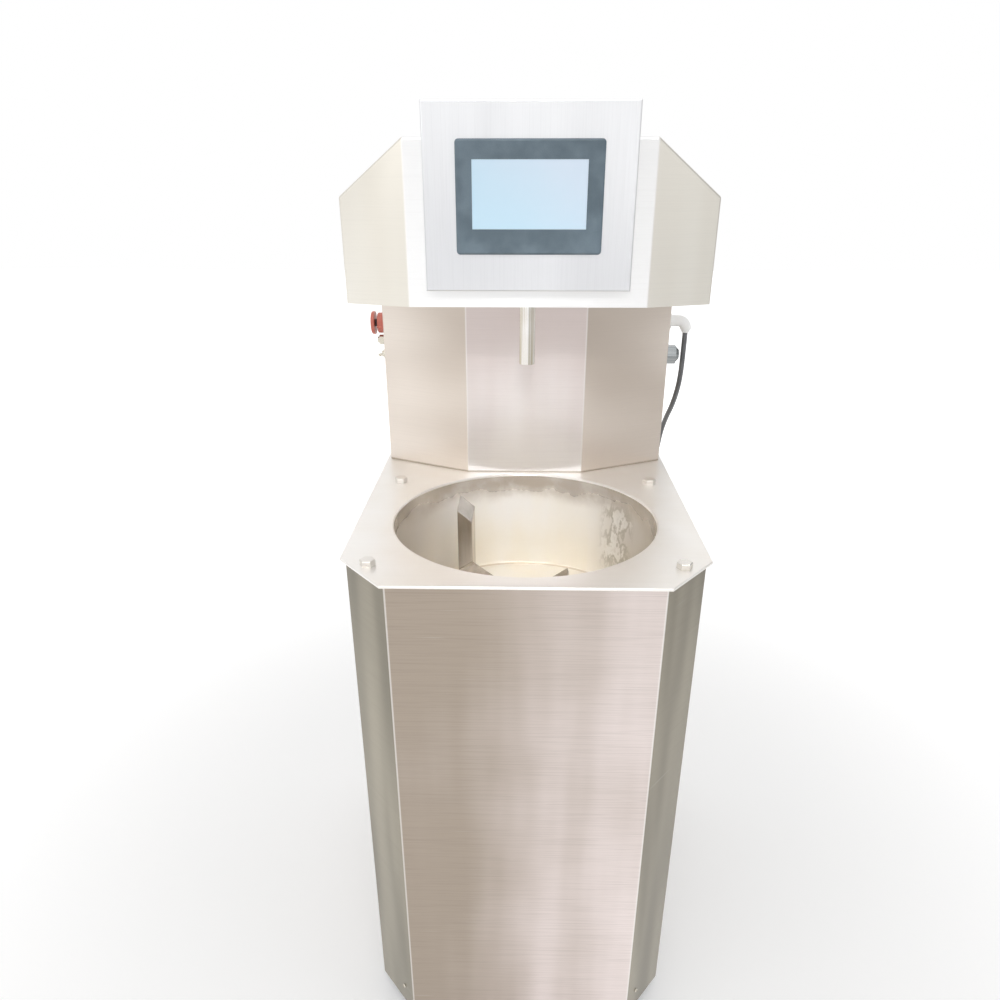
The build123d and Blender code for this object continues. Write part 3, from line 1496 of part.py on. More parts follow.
# Mains lead: straight runs joined by arcs, down beside the column and behind the cabinet
cord_points = [
    (gland_exit_x, gland_y, gland_exit_z),
    (gland_exit_x, gland_y, gland_exit_z - 44),
    (gland_exit_x, gland_y + 6, gland_exit_z - 90),
    (gland_exit_x - 1, gland_y + 25, gland_exit_z - 126),
    (gland_exit_x - 2, gland_y + 56, gland_exit_z - 161),
    (gland_exit_x - 4, gland_y + 98, gland_exit_z - 197),
    (gland_exit_x - 6, gland_y + 136, gland_exit_z - 242),
    (gland_exit_x - 8, gland_y + 156, gland_exit_z - 301),
    (gland_exit_x - 11, gland_y + 163, gland_exit_z - 392),
    (gland_exit_x - 15, gland_y + 166, 689),
    (gland_exit_x - 20, gland_y + 163, 554),
    (gland_exit_x - 23, gland_y + 167, 419),
    (gland_exit_x - 27, gland_y + 165, 289),
    (gland_exit_x - 30, gland_y + 169, 174),
    (gland_exit_x - 38, gland_y + 175, 97),
    (gland_exit_x - 62, gland_y + 186, 43),
    (gland_exit_x - 104, gland_y + 202, 11),
    (gland_exit_x - 154, gland_y + 219, cord_radius + 0.5),
    (gland_exit_x - 194, gland_y + 230, cord_radius),
    (coil_x, coil_y + coil_middle_radius + cord_radius, cord_radius),
]


def bend_radii(points):
    """Largest arc for each corner: 0.45 of its shorter run over the tangent of half its turn."""
    corners = []
    for before, here, after in zip(points, points[1:], points[2:]):
        into = Vector(*here) - Vector(*before)
        away = Vector(*after) - Vector(*here)
        half_turn = radians(into.get_angle(away)) / 2
        corners.append(0.45 * min(into.length, away.length) / tan(half_turn))
    return corners


cord_bends = bend_radii(cord_points)
with BuildPart() as power_cord:
    with BuildLine():
        cord_path = FilletPolyline(*cord_points, radius=cord_bends)
    with BuildSketch(Plane(origin=cord_path @ 0, z_dir=cord_path % 0)):
        Circle(cord_radius)
    sweep(path=cord_path)
print("lead: bend radii", [round(radius) for radius in cord_bends])
print("lead: length", round(cord_path.length), "volume ratio",
      round(power_cord.part.volume / (pi * cord_radius ** 2 * cord_path.length), 4))

# Coil of the length that is put away, as the ring its turns fill
with BuildPart() as cord_coil:
    with Locations((coil_x, coil_y, 0)):
        Cylinder(coil_middle_radius + 2 * cord_radius, coil_turn_rise, align=BASE)
        Cylinder(coil_middle_radius - 2 * cord_radius, 4 * coil_turn_rise, mode=Mode.SUBTRACT)

# Plug with its tapered strain relief, lying on the floor beside the coil
plug_start = coil_x + sqrt((coil_middle_radius + 2 * cord_radius) ** 2 - coil_middle_radius ** 2)
plug_axis = Plane(
    origin=(plug_start, coil_y - coil_middle_radius, plug_radius),
    x_dir=(0, 1, 0),
    z_dir=(1, 0, 0),
)
with BuildPart() as mains_plug:
    with Locations(plug_axis):
        Cone(cord_radius + plug_sleeve, plug_nose_radius, plug_nose_length, align=BASE)
    with BuildSketch(plug_axis.offset(plug_nose_length)):
        Circle(plug_radius)
    extrude(amount=plug_length)
    fillet(mains_plug.faces().sort_by(Axis.X)[-1].edges(), plug_radius / 6)
    with BuildSketch(plug_axis.offset(plug_nose_length + plug_length)):
        with GridLocations(plug_pin_pitch, 1, 2, 1):
            Circle(plug_pin_radius)
    extrude(amount=plug_pin_length)

pieces = {
    "base_frame": base_frame.part,
    "base_pan": base_pan.part,
    "levelling_feet": levelling_feet.part,
    "front_panel": front_panel.part,
    "left_side_panel": left_side_panel,
    "right_side_panel": right_side_panel,
    "rear_panel": rear_panel,
    "rear_cover": rear_cover,
    "panel_screws": panel_screws.part,
    "deck_plate": deck_plate.part,
    "deck_bolts": deck_bolts.part,
    "bowl": bowl.part,
    "water_jacket": water_jacket.part,
    "jacket_heater": jacket_heater.part,
    "stirrer_arms": stirrer_arms.part,
    "wall_scraper": wall_scraper,
    "inner_paddle": inner_paddle,
    "hub_nut": hub_nut.part,
    "drive_shaft": drive_shaft,
    "shaft_seal": shaft_seal,
    "bearing_housing": bearing_housing,
    "shaft_bearings": shaft_bearings.part,
    "stirrer_coupling": stirrer_coupling,
    "stirrer_gearmotor": stirrer_gearmotor,
    "drive_plate": drive_plate.part,
    "cylinder_base": cylinder_base,
    "tempering_cylinder": tempering_cylinder.part,
    "auger_screw": auger_screw.part,
    "cylinder_cap": cylinder_cap,
    "cooling_jacket": cooling_jacket,
    "auger_coupling": auger_coupling,
    "auger_gearmotor": auger_gearmotor,
    "feed_pipe": feed_pipe.part,
    "spout_pipe": spout_pipe.part,
    "spout_nozzle": spout_nozzle,
    "compressor": compressor.part,
    "condenser": condenser.part,
    "fan_shroud": fan_shroud.part,
    "fan_rotor": fan_rotor.part,
    "column_shell": column_shell.part,
    "head_shell": head_shell.part,
    "head_floor": head_floor.part,
    "screen_panel": screen_panel.part,
    "hmi_body": hmi_body.part,
    "hmi_display": hmi_display.part,
    "control_plate": control_plate.part,
    "controller": controller.part,
    "contactors": contactors.part,
    "e_stop_body": e_stop_body.part,
    "e_stop_stem": e_stop_stem.part,
    "e_stop_cap": e_stop_cap.part,
    "push_collar": push_collar.part,
    "push_button": push_button.part,
    "toggle_bush": toggle_bush.part,
    "toggle_lever": toggle_lever.part,
    "fill_fitting": fill_fitting.part,
    "gland_elbow": gland_elbow.part,
    "power_cord": power_cord.part,
    "cord_coil": cord_coil.part,
    "mains_plug": mains_plug.part,
}

os.makedirs("parts", exist_ok=True)
for name, piece in pieces.items():
    piece.label = name
    export_step(piece, f"parts/{name}.step")
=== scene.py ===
# %% [markdown]
# A chocolate tempering machine, dressed for a picture.
# The packed CAD model is the frame: it fixes every size and every moving body. This lesson adds what a CAD
# solid lacks, such as brushed steel, softened edges, a lead that hangs, and the light of a small studio.

# %% Load the frame
import json
import math

import bmesh
import bpy
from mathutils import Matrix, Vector
from mathutils.geometry import convex_hull_2d

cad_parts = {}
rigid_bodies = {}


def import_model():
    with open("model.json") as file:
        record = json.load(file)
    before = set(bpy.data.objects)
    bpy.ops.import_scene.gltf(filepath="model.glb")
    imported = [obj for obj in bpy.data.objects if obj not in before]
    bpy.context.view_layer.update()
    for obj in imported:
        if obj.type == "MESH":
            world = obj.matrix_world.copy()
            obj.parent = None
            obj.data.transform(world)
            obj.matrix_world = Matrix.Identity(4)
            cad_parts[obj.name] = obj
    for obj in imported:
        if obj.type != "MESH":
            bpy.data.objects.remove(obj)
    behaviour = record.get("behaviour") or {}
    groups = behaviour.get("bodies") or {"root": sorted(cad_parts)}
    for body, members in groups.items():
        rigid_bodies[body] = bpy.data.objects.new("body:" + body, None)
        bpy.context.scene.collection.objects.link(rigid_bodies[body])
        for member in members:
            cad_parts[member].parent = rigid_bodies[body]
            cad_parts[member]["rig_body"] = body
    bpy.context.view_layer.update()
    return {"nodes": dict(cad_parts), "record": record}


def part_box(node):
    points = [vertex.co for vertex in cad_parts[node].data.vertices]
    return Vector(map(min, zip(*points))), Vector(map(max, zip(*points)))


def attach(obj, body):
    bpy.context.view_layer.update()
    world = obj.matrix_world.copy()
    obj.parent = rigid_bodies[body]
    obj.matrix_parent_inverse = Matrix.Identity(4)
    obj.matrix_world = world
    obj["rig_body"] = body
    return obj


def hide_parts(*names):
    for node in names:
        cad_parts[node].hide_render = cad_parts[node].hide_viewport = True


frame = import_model()
nodes = frame["nodes"]
slot_of = {part["node"]: part["material_slot"] for part in frame["record"]["subparts"]}
scene = bpy.context.scene
scene.view_settings.view_transform = "Standard"

# %% [markdown]
# The camera stands where the photographer stood: a step in front of the machine, at eye height, looking down
# at the deck. Lines that are parallel on the real cabinet run together towards the floor in the photograph,
# so the lens has to be wide and the tilt right, and both were worked out from those lines.

# %% Camera
camera_place = (-0.0108, -1.3245, 1.4729)
camera_tilt_down = 25.46
camera_turn = 1.23
camera_lens = 28.26
camera_shift_right = -0.003
camera_shift_up = 0.056
sensor_width = 36
far_clip = 60

camera_data = bpy.data.cameras.new("camera")
camera_data.lens = camera_lens
camera_data.sensor_width = sensor_width
camera_data.shift_x = camera_shift_right
camera_data.shift_y = camera_shift_up
camera_data.clip_end = far_clip
camera = bpy.data.objects.new("camera", camera_data)
camera.location = camera_place
camera.rotation_euler = (math.radians(90 - camera_tilt_down), 0, math.radians(camera_turn))
scene.collection.objects.link(camera)
scene.camera = camera
print("camera:", camera_place, "lens", camera_lens)

# %% [markdown]
# Every finish here is a small sum of noises and masks. Wiring such sums by hand fills pages, so one class
# wraps a socket and lets Python's own operators add the Math nodes. Its method node makes any node at all.

# %% Shader sums as Python expressions
class Shade:
    """A socket in a material, usable in sums."""

    def __init__(self, tree, socket=None):
        self.tree = tree
        self.socket = socket

    def node(self, kind, settings=None, inputs=None, output=0):
        """A node of this kind: its settings first, then values or links for its sockets."""
        made = self.tree.nodes.new(kind)
        for name, value in (settings or {}).items():
            setattr(made, name, value)
        for name, value in (inputs or {}).items():
            self.feed(made.inputs[name], value)
        return Shade(self.tree, made.outputs[output])

    def feed(self, socket, value):
        """Links a Shade to a socket, or sets the socket's own value."""
        if isinstance(value, Shade):
            self.tree.links.new(value.socket, socket)
        else:
            socket.default_value = value

    def sum(self, operation, first, second):
        """A Math node on two values, either of them a Shade or a number."""
        return self.node("ShaderNodeMath", {"operation": operation}, {0: first, 1: second})

    def __add__(self, other):
        return self.sum("ADD", self, other)

    def __radd__(self, other):
        return self.sum("ADD", other, self)

    def __sub__(self, other):
        return self.sum("SUBTRACT", self, other)

    def __rsub__(self, other):
        return self.sum("SUBTRACT", other, self)

    def __mul__(self, other):
        return self.sum("MULTIPLY", self, other)

    def __rmul__(self, other):
        return self.sum("MULTIPLY", other, self)

    def __abs__(self):
        return self.node("ShaderNodeMath", {"operation": "ABSOLUTE"}, {0: self})

    def axis(self, name):
        """One coordinate of a vector: X, Y or Z."""
        return self.node("ShaderNodeSeparateXYZ", None, {0: self}, "XYZ".index(name))

    def ramp(self, low, high):
        """0 below low, 1 above high, smooth between."""
        settings = {"interpolation_type": "SMOOTHSTEP"}
        return self.node("ShaderNodeMapRange", settings, {"Value": self, "From Min": low, "From Max": high})

    def mix(self, first, second):
        """A colour that goes from first to second as this value goes from 0 to 1."""
        # A Mix node has sockets for every kind of value. Inputs 6 and 7 and output 2 are those for colours.
        settings = {"data_type": "RGBA"}
        return self.node("ShaderNodeMix", settings, {0: self, 6: rgba(first), 7: rgba(second)}, 2)


def rgba(colour):
    """A colour as a socket wants it, or the Shade it already is."""
    return colour if isinstance(colour, Shade) else (*colour, 1.0)


print("Shade:", ", ".join(name for name in vars(Shade) if not name.startswith("_")))

# %% A new material, its coordinates, its noise and its relief
def new_finish(name):
    """An empty material, with its shader node and a Shade to build sums from."""
    material = bpy.data.materials.new(name)
    material.use_nodes = True
    tree = material.node_tree
    tree.nodes.clear()
    shader = tree.nodes.new("ShaderNodeBsdfPrincipled")
    output = tree.nodes.new("ShaderNodeOutputMaterial")
    tree.links.new(shader.outputs[0], output.inputs[0])
    return material, shader, Shade(tree)


def object_point(build, stretch=(1, 1, 1)):
    """Object coordinates in metres, stretched for a pattern."""
    place = build.node("ShaderNodeTexCoord", output="Object")
    return build.node("ShaderNodeMapping", None, {"Vector": place, "Scale": stretch})


def noise(build, point, scale, detail=2.0, roughness=0.5):
    """Soft noise from 0 to 1."""
    inputs = {"Vector": point, "Scale": scale, "Detail": detail, "Roughness": roughness}
    return build.node("ShaderNodeTexNoise", None, inputs)


def add_relief(build, shader, height, strength, distance):
    """Fine relief from a height between 0 and 1. distance is how deep it would be in metres."""
    inputs = {"Strength": strength, "Distance": distance, "Height": height}
    build.feed(shader.inputs["Normal"], build.node("ShaderNodeBump", None, inputs))


print("helpers: new_finish, object_point, noise, add_relief")

# %% [markdown]
# Stainless sheet is brushed at the mill: long, hair-fine lines, all in one direction, with a few deeper
# scratches from use. Lines are made by stretching a noise: very coarse along the grain, very fine across it.
# Brushed steel also smears what is near it across the grain, into soft upright streaks of warm and cool grey,
# and those streaks are what the eye knows it by. So a second noise, stretched upwards, paints them into the
# colour as painted reflections, and a slope paints one end of a sheet lighter and cooler than the other, as
# painted light and reflection. The faces of a bent corner lie the other way to the light, so painted shade
# darkens them, in patches; the sheet's own normal picks them out. A painted highlight runs along each fold.

# %% Brushed steel as a recipe
grain_across = 1400.0
grain_along = 16.0
band_width = 2.5
scratch_across = 260.0
scratch_along = 7.0
scratch_colour = (0.95, 0.94, 0.92)
streak_stretch = (11, 11, 1.3)
upright_patches = (15, 15, 1.7)
# Painted highlight along each fold: its full core, the edge where it fades out, and its colour.
fold_highlight_core = 0.0006
fold_highlight_edge = 0.0020
fold_highlight_colour = (0.97, 0.95, 0.93)
# Painted shade in a thin line just above a sheet's foot: its full core, the edge where it fades, and its
# colour.
foot_shade_core = 0.0010
foot_shade_edge = 0.0045
foot_shade_colour = (0.36, 0.29, 0.21)


def brushed_steel(
    name, warm, cool, rough, along, lines=0.06, metal=0.9,
    lean=None, corner=None, patch=upright_patches, fold=None, foot=None,
):
    """Brushed sheet with its grain along the named axes.

    lines is how dark the grain is. lean is how much the tone goes from warm to cool in a metre across
    the machine, and in a metre up it from the height given last, as painted light and reflection. corner
    is a dark and a light colour of painted shade for faces turned to the side, patch how many patches of
    them there are in a metre, fold how far from the middle the sheet is folded, where a painted highlight
    runs, and foot the height of a thin line of painted shade, where the steel is also rougher.
    """
    material, shader, build = new_finish(name)
    grain_stretch = [grain_along if axis in along else grain_across for axis in "XYZ"]
    scratch_stretch = [scratch_along if axis in along else scratch_across for axis in "XYZ"]
    point = object_point(build)
    fine = noise(build, object_point(build, grain_stretch), 1.0, 3.0, 0.6)
    bands = noise(build, object_point(build, [side / band_width for side in grain_stretch]), 1.0, 2.0, 0.5)
    scratch = noise(build, object_point(build, scratch_stretch), 1.0, 1.0).ramp(0.74, 0.82)
    cloud = noise(build, point, 3.0, 2.0, 0.5)
    # Painted reflections: upright streaks of warm and cool grey, as brushed steel smears what is near it.
    streaks = noise(build, object_point(build, streak_stretch), 1.0, 2.0, 0.5)
    tone = cloud * 0.35 + streaks * 0.40 + 0.125
    across = point.axis("X")
    level = point.axis("Z")
    # Painted light and reflection: the tone slopes from warm to cool across the machine and up it.
    if lean:
        lean_across, lean_up, lean_height = lean
        tone = tone + across * lean_across + (level - lean_height) * lean_up
    tone = tone.ramp(0.25, 0.80)
    colour = tone.mix(warm, cool)
    # Painted shade: faces turned to the side get the corner colours, in patches, picked out by the normal.
    if corner:
        facing = build.node("ShaderNodeNewGeometry", output="Normal")
        turned = abs(facing.axis("X")).ramp(0.15, 0.35)
        patches = noise(build, object_point(build, patch), 1.0, 1.0).ramp(0.25, 0.75)
        colour = turned.mix(colour, patches.mix(*corner))
    grain = ((0.56 - fine) + (0.54 - bands)).ramp(0.0, 0.40)
    colour = (grain * lines).mix(colour, [channel * 0.45 for channel in warm])
    colour = (scratch * 0.10).mix(colour, scratch_colour)
    roughness = rough - tone * 0.05
    # A painted highlight along the fold, where the bend would catch the light.
    if fold:
        fold_highlight = 1 - abs(abs(across) - fold).ramp(fold_highlight_core, fold_highlight_edge)
        colour = (fold_highlight * 0.45).mix(colour, fold_highlight_colour)
    # Painted shade: a thin dark line just above the foot, where the column meets the deck, with rougher steel
    # there.
    if foot:
        foot_shade = 1 - level.ramp(foot + foot_shade_core, foot + foot_shade_edge)
        colour = (foot_shade * 0.75).mix(colour, foot_shade_colour)
        roughness = roughness + foot_shade * 0.2
    build.feed(shader.inputs["Base Color"], colour)
    shader.inputs["Metallic"].default_value = metal
    build.feed(shader.inputs["Roughness"], roughness)
    add_relief(build, shader, fine * 0.7 + bands * 0.3 + scratch * 0.2, 0.05, 0.0003)
    return material


print("brushed steel:", grain_across, "lines in a metre across the grain,", grain_along, "along it")

# %% Sheets of the machine: one steel, painted lighter or darker for the light each sheet gets
front_face_depth = 0.0002
deck_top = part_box("deck_plate")[1].z


def front_half(node):
    """Half the width of a sheet's front face, which is where its first folds are."""
    places = [vert.co for vert in nodes[node].data.vertices]
    front = min(place.y for place in places)
    return max(place.x for place in places if place.y < front + front_face_depth)


# The six sheets are one steel. Their different tones are painted light and shade, for the light and
# reflections each sheet gets.
front_steel = brushed_steel(
    "front_sheet", (0.40, 0.337, 0.278), (0.83, 0.745, 0.725), 0.36, "XY", 0.17,
    lean=(0.95, -0.10, 0.0), corner=((0.20, 0.182, 0.142), (0.38, 0.345, 0.275)),
    fold=front_half("front_panel"),
)
panel_steel = brushed_steel("panel_sheet", (0.52, 0.465, 0.40), (0.70, 0.65, 0.62), 0.36, "XY", 0.12)
column_steel = brushed_steel(
    "column_sheet", (0.70, 0.615, 0.59), (0.97, 0.94, 0.93), 0.34, "XY", 0.05, 0.70,
    lean=(0, -2.0, 1.10), corner=((0.60, 0.52, 0.45), (0.97, 0.89, 0.81)), patch=(2.6, 2.6, 4.2),
    fold=front_half("column_shell"), foot=deck_top,
)
head_steel = brushed_steel(
    "head_sheet", (0.91, 0.905, 0.90), (0.95, 0.95, 0.95), 0.40, "XY", 0.04,
    corner=((0.82, 0.78, 0.70), (0.89, 0.86, 0.79)), fold=front_half("head_shell"),
)
screen_steel = brushed_steel(
    "screen_sheet", (0.70, 0.705, 0.725), (0.94, 0.945, 0.96), 0.36, "Z", 0.06, lean=(0.6, 1.5, 1.46)
)
deck_steel = brushed_steel("deck_sheet", (0.91, 0.87, 0.81), (0.97, 0.95, 0.93), 0.36, "X", 0.04, 0.70)
folds = [round(front_half(node), 4) for node in ("front_panel", "column_shell", "head_shell")]
print("sheets: 6, folded at", folds, "from the middle")

# %% [markdown]
# The stirrer, the nozzle, the hexagon fitting and the deck's bolts are polished, so they mirror the bowl and
# the room in soft streaks. Most of their tone comes from those mirrorings. The finish adds the drawn lines of
# the polish, a noise stretched one way, which is soft on most of them. On the nozzle it is crisp, pale and
# brown, and paints the upright streaks of a mirrored room: painted reflections.

# %% Polished steel
def polished_steel(name, bright, dull, rough, drawn_along=(9, 9, 240), contrast=(0.2, 0.8)):
    """Polished steel with drawn lines and a cloudy bloom. A narrow contrast makes the lines crisp."""
    material, shader, build = new_finish(name)
    drawn = noise(build, object_point(build, drawn_along), 1.0, 2.0).ramp(*contrast)
    cloud = noise(build, object_point(build), 7.0, 3.0, 0.6).ramp(0.3, 0.75)
    tone = cloud * 0.4 + drawn * 0.6
    build.feed(shader.inputs["Base Color"], tone.mix(dull, bright))
    build.feed(shader.inputs["Roughness"], rough + cloud * 0.08)
    shader.inputs["Metallic"].default_value = 0.95
    add_relief(build, shader, drawn * 0.6 + cloud * 0.4, 0.06, 0.0004)
    return material


stirrer_steel = polished_steel("stirrer_steel", (0.80, 0.75, 0.69), (0.50, 0.45, 0.40), 0.18, (70, 70, 7))
# The nozzle's crisp upright streaks of pale and brown are painted reflections.
nozzle_steel = polished_steel(
    "nozzle_steel", (0.99, 0.98, 0.98), (0.56, 0.49, 0.37), 0.10, (330, 330, 2), (0.42, 0.56)
)
fitting_steel = polished_steel("fitting_steel", (0.46, 0.47, 0.47), (0.13, 0.15, 0.16), 0.14)
bolt_steel = polished_steel("bolt_steel", (0.95, 0.92, 0.88), (0.72, 0.68, 0.62), 0.24)
print("polished steel: stirrer, nozzle, fitting, bolts")

# %% [markdown]
# The bowl is the same steel after use. Up to the fill line it wears a pale, cloudy film of cocoa butter that
# a cloth has only spread, so there it is less of a mirror, and the line itself is soft and uneven. Above it
# the bare steel is greyer. On the wall at the right a thicker smear was left to dry: dark runs with pale
# rims. A thin brown line stays in the corner of the floor, where no cloth gets in.

# %% Bowl with a wiped film
fill_line = 0.926
fill_line_waver = 0.045
film_stretch = (13, 13, 3)
run_stretch = (30, 30, 16)
pale_under_line = (0.11, 0.02)
side_wall = (0.11, 0.22)
smear_left = (0.140, 0.165)
smear_right = (0.188, 0.204)
smear_near = (-0.150, -0.090)
smear_foot = (0.780, 0.820)
seal_proud = 0.003
bowl_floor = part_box("shaft_seal")[1].z - seal_proud
corner_line_foot = (0.0008, 0.0020)
corner_line_top = (0.0030, 0.0050)
bare_dark = (0.62, 0.56, 0.50)
bare_light = (0.90, 0.86, 0.82)
film_low = (0.96, 0.895, 0.77)
film_high = (0.99, 0.975, 0.96)
side_shade = (0.40, 0.345, 0.28)
dried_brown = (0.34, 0.30, 0.22)
dried_rim = (0.97, 0.95, 0.90)
corner_brown = (0.46, 0.33, 0.18)


def bowl_finish():
    """Bare steel above an uneven fill line, a pale film below it, and one dried smear."""
    material, shader, build = new_finish("bowl_steel")
    point = object_point(build)
    across = point.axis("X")
    back = point.axis("Y")
    level = point.axis("Z")
    ragged = noise(build, point, 14.0, 4.0, 0.60)
    below = (fill_line + (ragged - 0.5) * fill_line_waver - level).ramp(-0.020, 0.024)
    cloud = noise(build, point, 9.0, 3.0, 0.6).ramp(0.3, 0.75)
    streaks = noise(build, object_point(build, film_stretch), 1.0, 2.0, 0.5).ramp(0.35, 0.65)
    bare = (ragged.ramp(0.4, 0.6) * 0.6 + cloud * 0.4).mix(bare_dark, bare_light)
    paler = level.ramp(*[fill_line - depth for depth in pale_under_line])
    film = (streaks * 0.3 + cloud * 0.2 + paler * 0.5).mix(film_low, film_high)
    colour = below.mix(bare, film)
    # Painted shade: the bowl's walls are darkened towards the left and the right.
    beside = abs(across).ramp(*side_wall)
    colour = (beside * 0.70).mix(colour, side_shade)
    runs = noise(build, object_point(build, run_stretch), 1.0, 4.0, 0.62)
    in_band = across.ramp(*smear_left) * (1 - across.ramp(*smear_right))
    at_smear = in_band * back.ramp(*smear_near) * level.ramp(*smear_foot) * below
    dried = runs.ramp(0.47, 0.53) * (1 - runs.ramp(0.54, 0.60)) * at_smear
    rims = runs.ramp(0.56, 0.61) * (1 - runs.ramp(0.62, 0.70)) * at_smear
    colour = (dried * 0.55).mix(colour, dried_brown)
    colour = (rims * 0.45).mix(colour, dried_rim)
    over_floor = level - bowl_floor
    in_corner = over_floor.ramp(*corner_line_foot) * (1 - over_floor.ramp(*corner_line_top))
    colour = (in_corner * 0.60).mix(colour, corner_brown)
    build.feed(shader.inputs["Base Color"], colour)
    build.feed(shader.inputs["Metallic"], 0.55 - below * 0.25)
    build.feed(shader.inputs["Roughness"], 0.22 + below * 0.14 + cloud * 0.06)
    add_relief(build, shader, runs * 0.5 + cloud * 0.5, 0.10, 0.0005)
    return material


bowl_steel = bowl_finish()
print("bowl: film up to", fill_line)

# %% [markdown]
# The small fittings are plated, the inner castings are raw, the frame is painted, and the switches, the gland
# and the lead are plastic or rubber. One plain recipe does for all of them: two tones mixed by a noise of the
# right grain, which is also in the gloss and the relief.

# %% Grained finishes for fittings, castings, paint and plastic
grains_in_cloud = 40


def grained(name, light, dark, rough, metal, grain, relief=0.1, coat=0.0):
    """A finish of two tones with a fine grain. grain is the number of grains in a metre."""
    material, shader, build = new_finish(name)
    point = object_point(build)
    speckle = noise(build, point, grain, 3.0, 0.6)
    cloud = noise(build, point, grain / grains_in_cloud, 2.0).ramp(0.3, 0.7)
    tone = speckle * 0.5 + cloud * 0.5
    build.feed(shader.inputs["Base Color"], tone.mix(dark, light))
    build.feed(shader.inputs["Roughness"], rough + speckle * 0.12 - 0.06)
    shader.inputs["Metallic"].default_value = metal
    shader.inputs["Coat Weight"].default_value = coat
    add_relief(build, shader, speckle, relief, 0.0003)
    return material


finish_of_slot = {
    "brushed_sheet": panel_steel,
    "polished_steel": stirrer_steel,
    "nickel": grained("plated_fitting", (0.76, 0.72, 0.62), (0.58, 0.54, 0.46), 0.28, 0.9, 900, 0.06),
    "frame_paint": grained("frame_paint", (0.42, 0.43, 0.44), (0.30, 0.31, 0.32), 0.5, 0.0, 1500, 0.2),
    "machined_steel": grained("machined_steel", (0.66, 0.65, 0.63), (0.48, 0.47, 0.46), 0.32, 1.0, 1200, 0.1),
    "cast_aluminium": grained("cast_aluminium", (0.64, 0.65, 0.66), (0.48, 0.49, 0.50), 0.5, 0.9, 1300, 0.3),
    "black_enamel": grained("black_enamel", (0.035, 0.035, 0.037), (0.018, 0.018, 0.02), 0.25, 0.0, 1400),
    "seal_white": grained("seal_plastic", (0.82, 0.81, 0.78), (0.72, 0.71, 0.68), 0.45, 0.0, 900, 0.05),
    "bezel_grey": grained(
        "bezel_plastic", (0.150, 0.203, 0.245), (0.066, 0.099, 0.124), 0.16, 0.0, 1100, 0.02, 0.3
    ),
    "stop_red": grained("stop_plastic", (0.70, 0.21, 0.155), (0.57, 0.13, 0.09), 0.32, 0.0, 1100, 0.05, 0.2),
    "stem_dark": grained("stem_plastic", (0.07, 0.07, 0.075), (0.045, 0.045, 0.05), 0.42, 0.0, 1200, 0.1),
    "gland_white": grained("gland_plastic", (0.95, 0.95, 0.94), (0.89, 0.89, 0.88), 0.42, 0.0, 1000, 0.05),
    "cord_black": grained("cord_rubber", (0.165, 0.167, 0.175), (0.105, 0.107, 0.114), 0.42, 0.0, 1600, 0.15),
    "control_grey": grained("control_plastic", (0.47, 0.48, 0.49), (0.38, 0.39, 0.40), 0.5, 0.0, 1500, 0.1),
}
print("finishes for", len(finish_of_slot), "slots so far")

# %% [markdown]
# The display is switched on, so its pale blue is part light of its own and part the room's light on glass. A
# slope from corner to corner and a faint haze keep it from looking like a painted card.

# %% Display that is switched on
display_blue = (0.42, 0.57, 0.67)
display_pale = (0.50, 0.58, 0.67)


def display_glow():
    """A lit display: pale blue, paler towards one top corner, behind glass with a faint haze."""
    material, shader, build = new_finish("display_glass")
    low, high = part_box("hmi_display")
    middle = (low + high) / 2
    point = object_point(build)
    across = point.axis("X") - middle.x
    up = point.axis("Z") - middle.z
    haze = noise(build, point, 22.0, 3.0, 0.6)
    slant = (across * 7.0 + up * 9.0 + haze * 0.5).ramp(-0.5, 1.2)
    colour = slant.mix(display_blue, display_pale)
    build.feed(shader.inputs["Base Color"], colour)
    build.feed(shader.inputs["Emission Color"], colour)
    shader.inputs["Emission Strength"].default_value = 0.30
    build.feed(shader.inputs["Roughness"], 0.10 + haze * 0.06)
    shader.inputs["Coat Weight"].default_value = 0.4
    return material


finish_of_slot["display_blue"] = display_glow()
print("display: from", display_blue, "to", display_pale)

# %% Each node gets its finish
finish_of_node = {
    "front_panel": front_steel,
    "deck_plate": deck_steel,
    "column_shell": column_steel,
    "head_shell": head_steel,
    "head_floor": head_steel,
    "screen_panel": screen_steel,
    "bowl": bowl_steel,
    "spout_nozzle": nozzle_steel,
    "fill_fitting": fitting_steel,
    "deck_bolts": bolt_steel,
}


def finish_for(node):
    """A node's own finish, or else the finish of its material slot."""
    return finish_of_node.get(node, finish_of_slot[slot_of[node]])


for name, node in nodes.items():
    node.data.materials.clear()
    node.data.materials.append(finish_for(name))
print("finishes:", len(finish_of_slot), "slots and", len(finish_of_node), "nodes of their own")

# %% [markdown]
# A CAD mesh is loose triangles with knife edges, and real folded sheet has none: every edge is broken by a
# file or a bend and catches a thin line of light. So each piece in view is a welded copy of its CAD node,
# with flat areas joined up, its sharp edges bevelled by a millimetre at most and its curves shaded smooth.

# %% How a CAD node is welded and softened
smooth_angle = math.radians(28)
flat_angle = math.radians(0.3)
sharp_angle = math.radians(40)
weld_distance = 1e-6
sheet_edge = 0.0004
fitting_edge = 0.0003
stirrer_edge = 0.0010


def add_piece(name, mesh, body, slot, *stands_for):
    """A finished mesh as a piece of the object, riding on a body."""
    piece = bpy.data.objects.new(name, mesh)
    scene.collection.objects.link(piece)
    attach(piece, body)
    if stands_for:
        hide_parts(*stands_for)
    return piece


def shade_by_angle(mesh, angle=smooth_angle):
    """Smooth faces, with sharp edges where two faces meet at more than this angle."""
    mesh.polygons.foreach_set("use_smooth", [True] * len(mesh.polygons))
    mesh.set_sharp_from_angle(angle=angle)


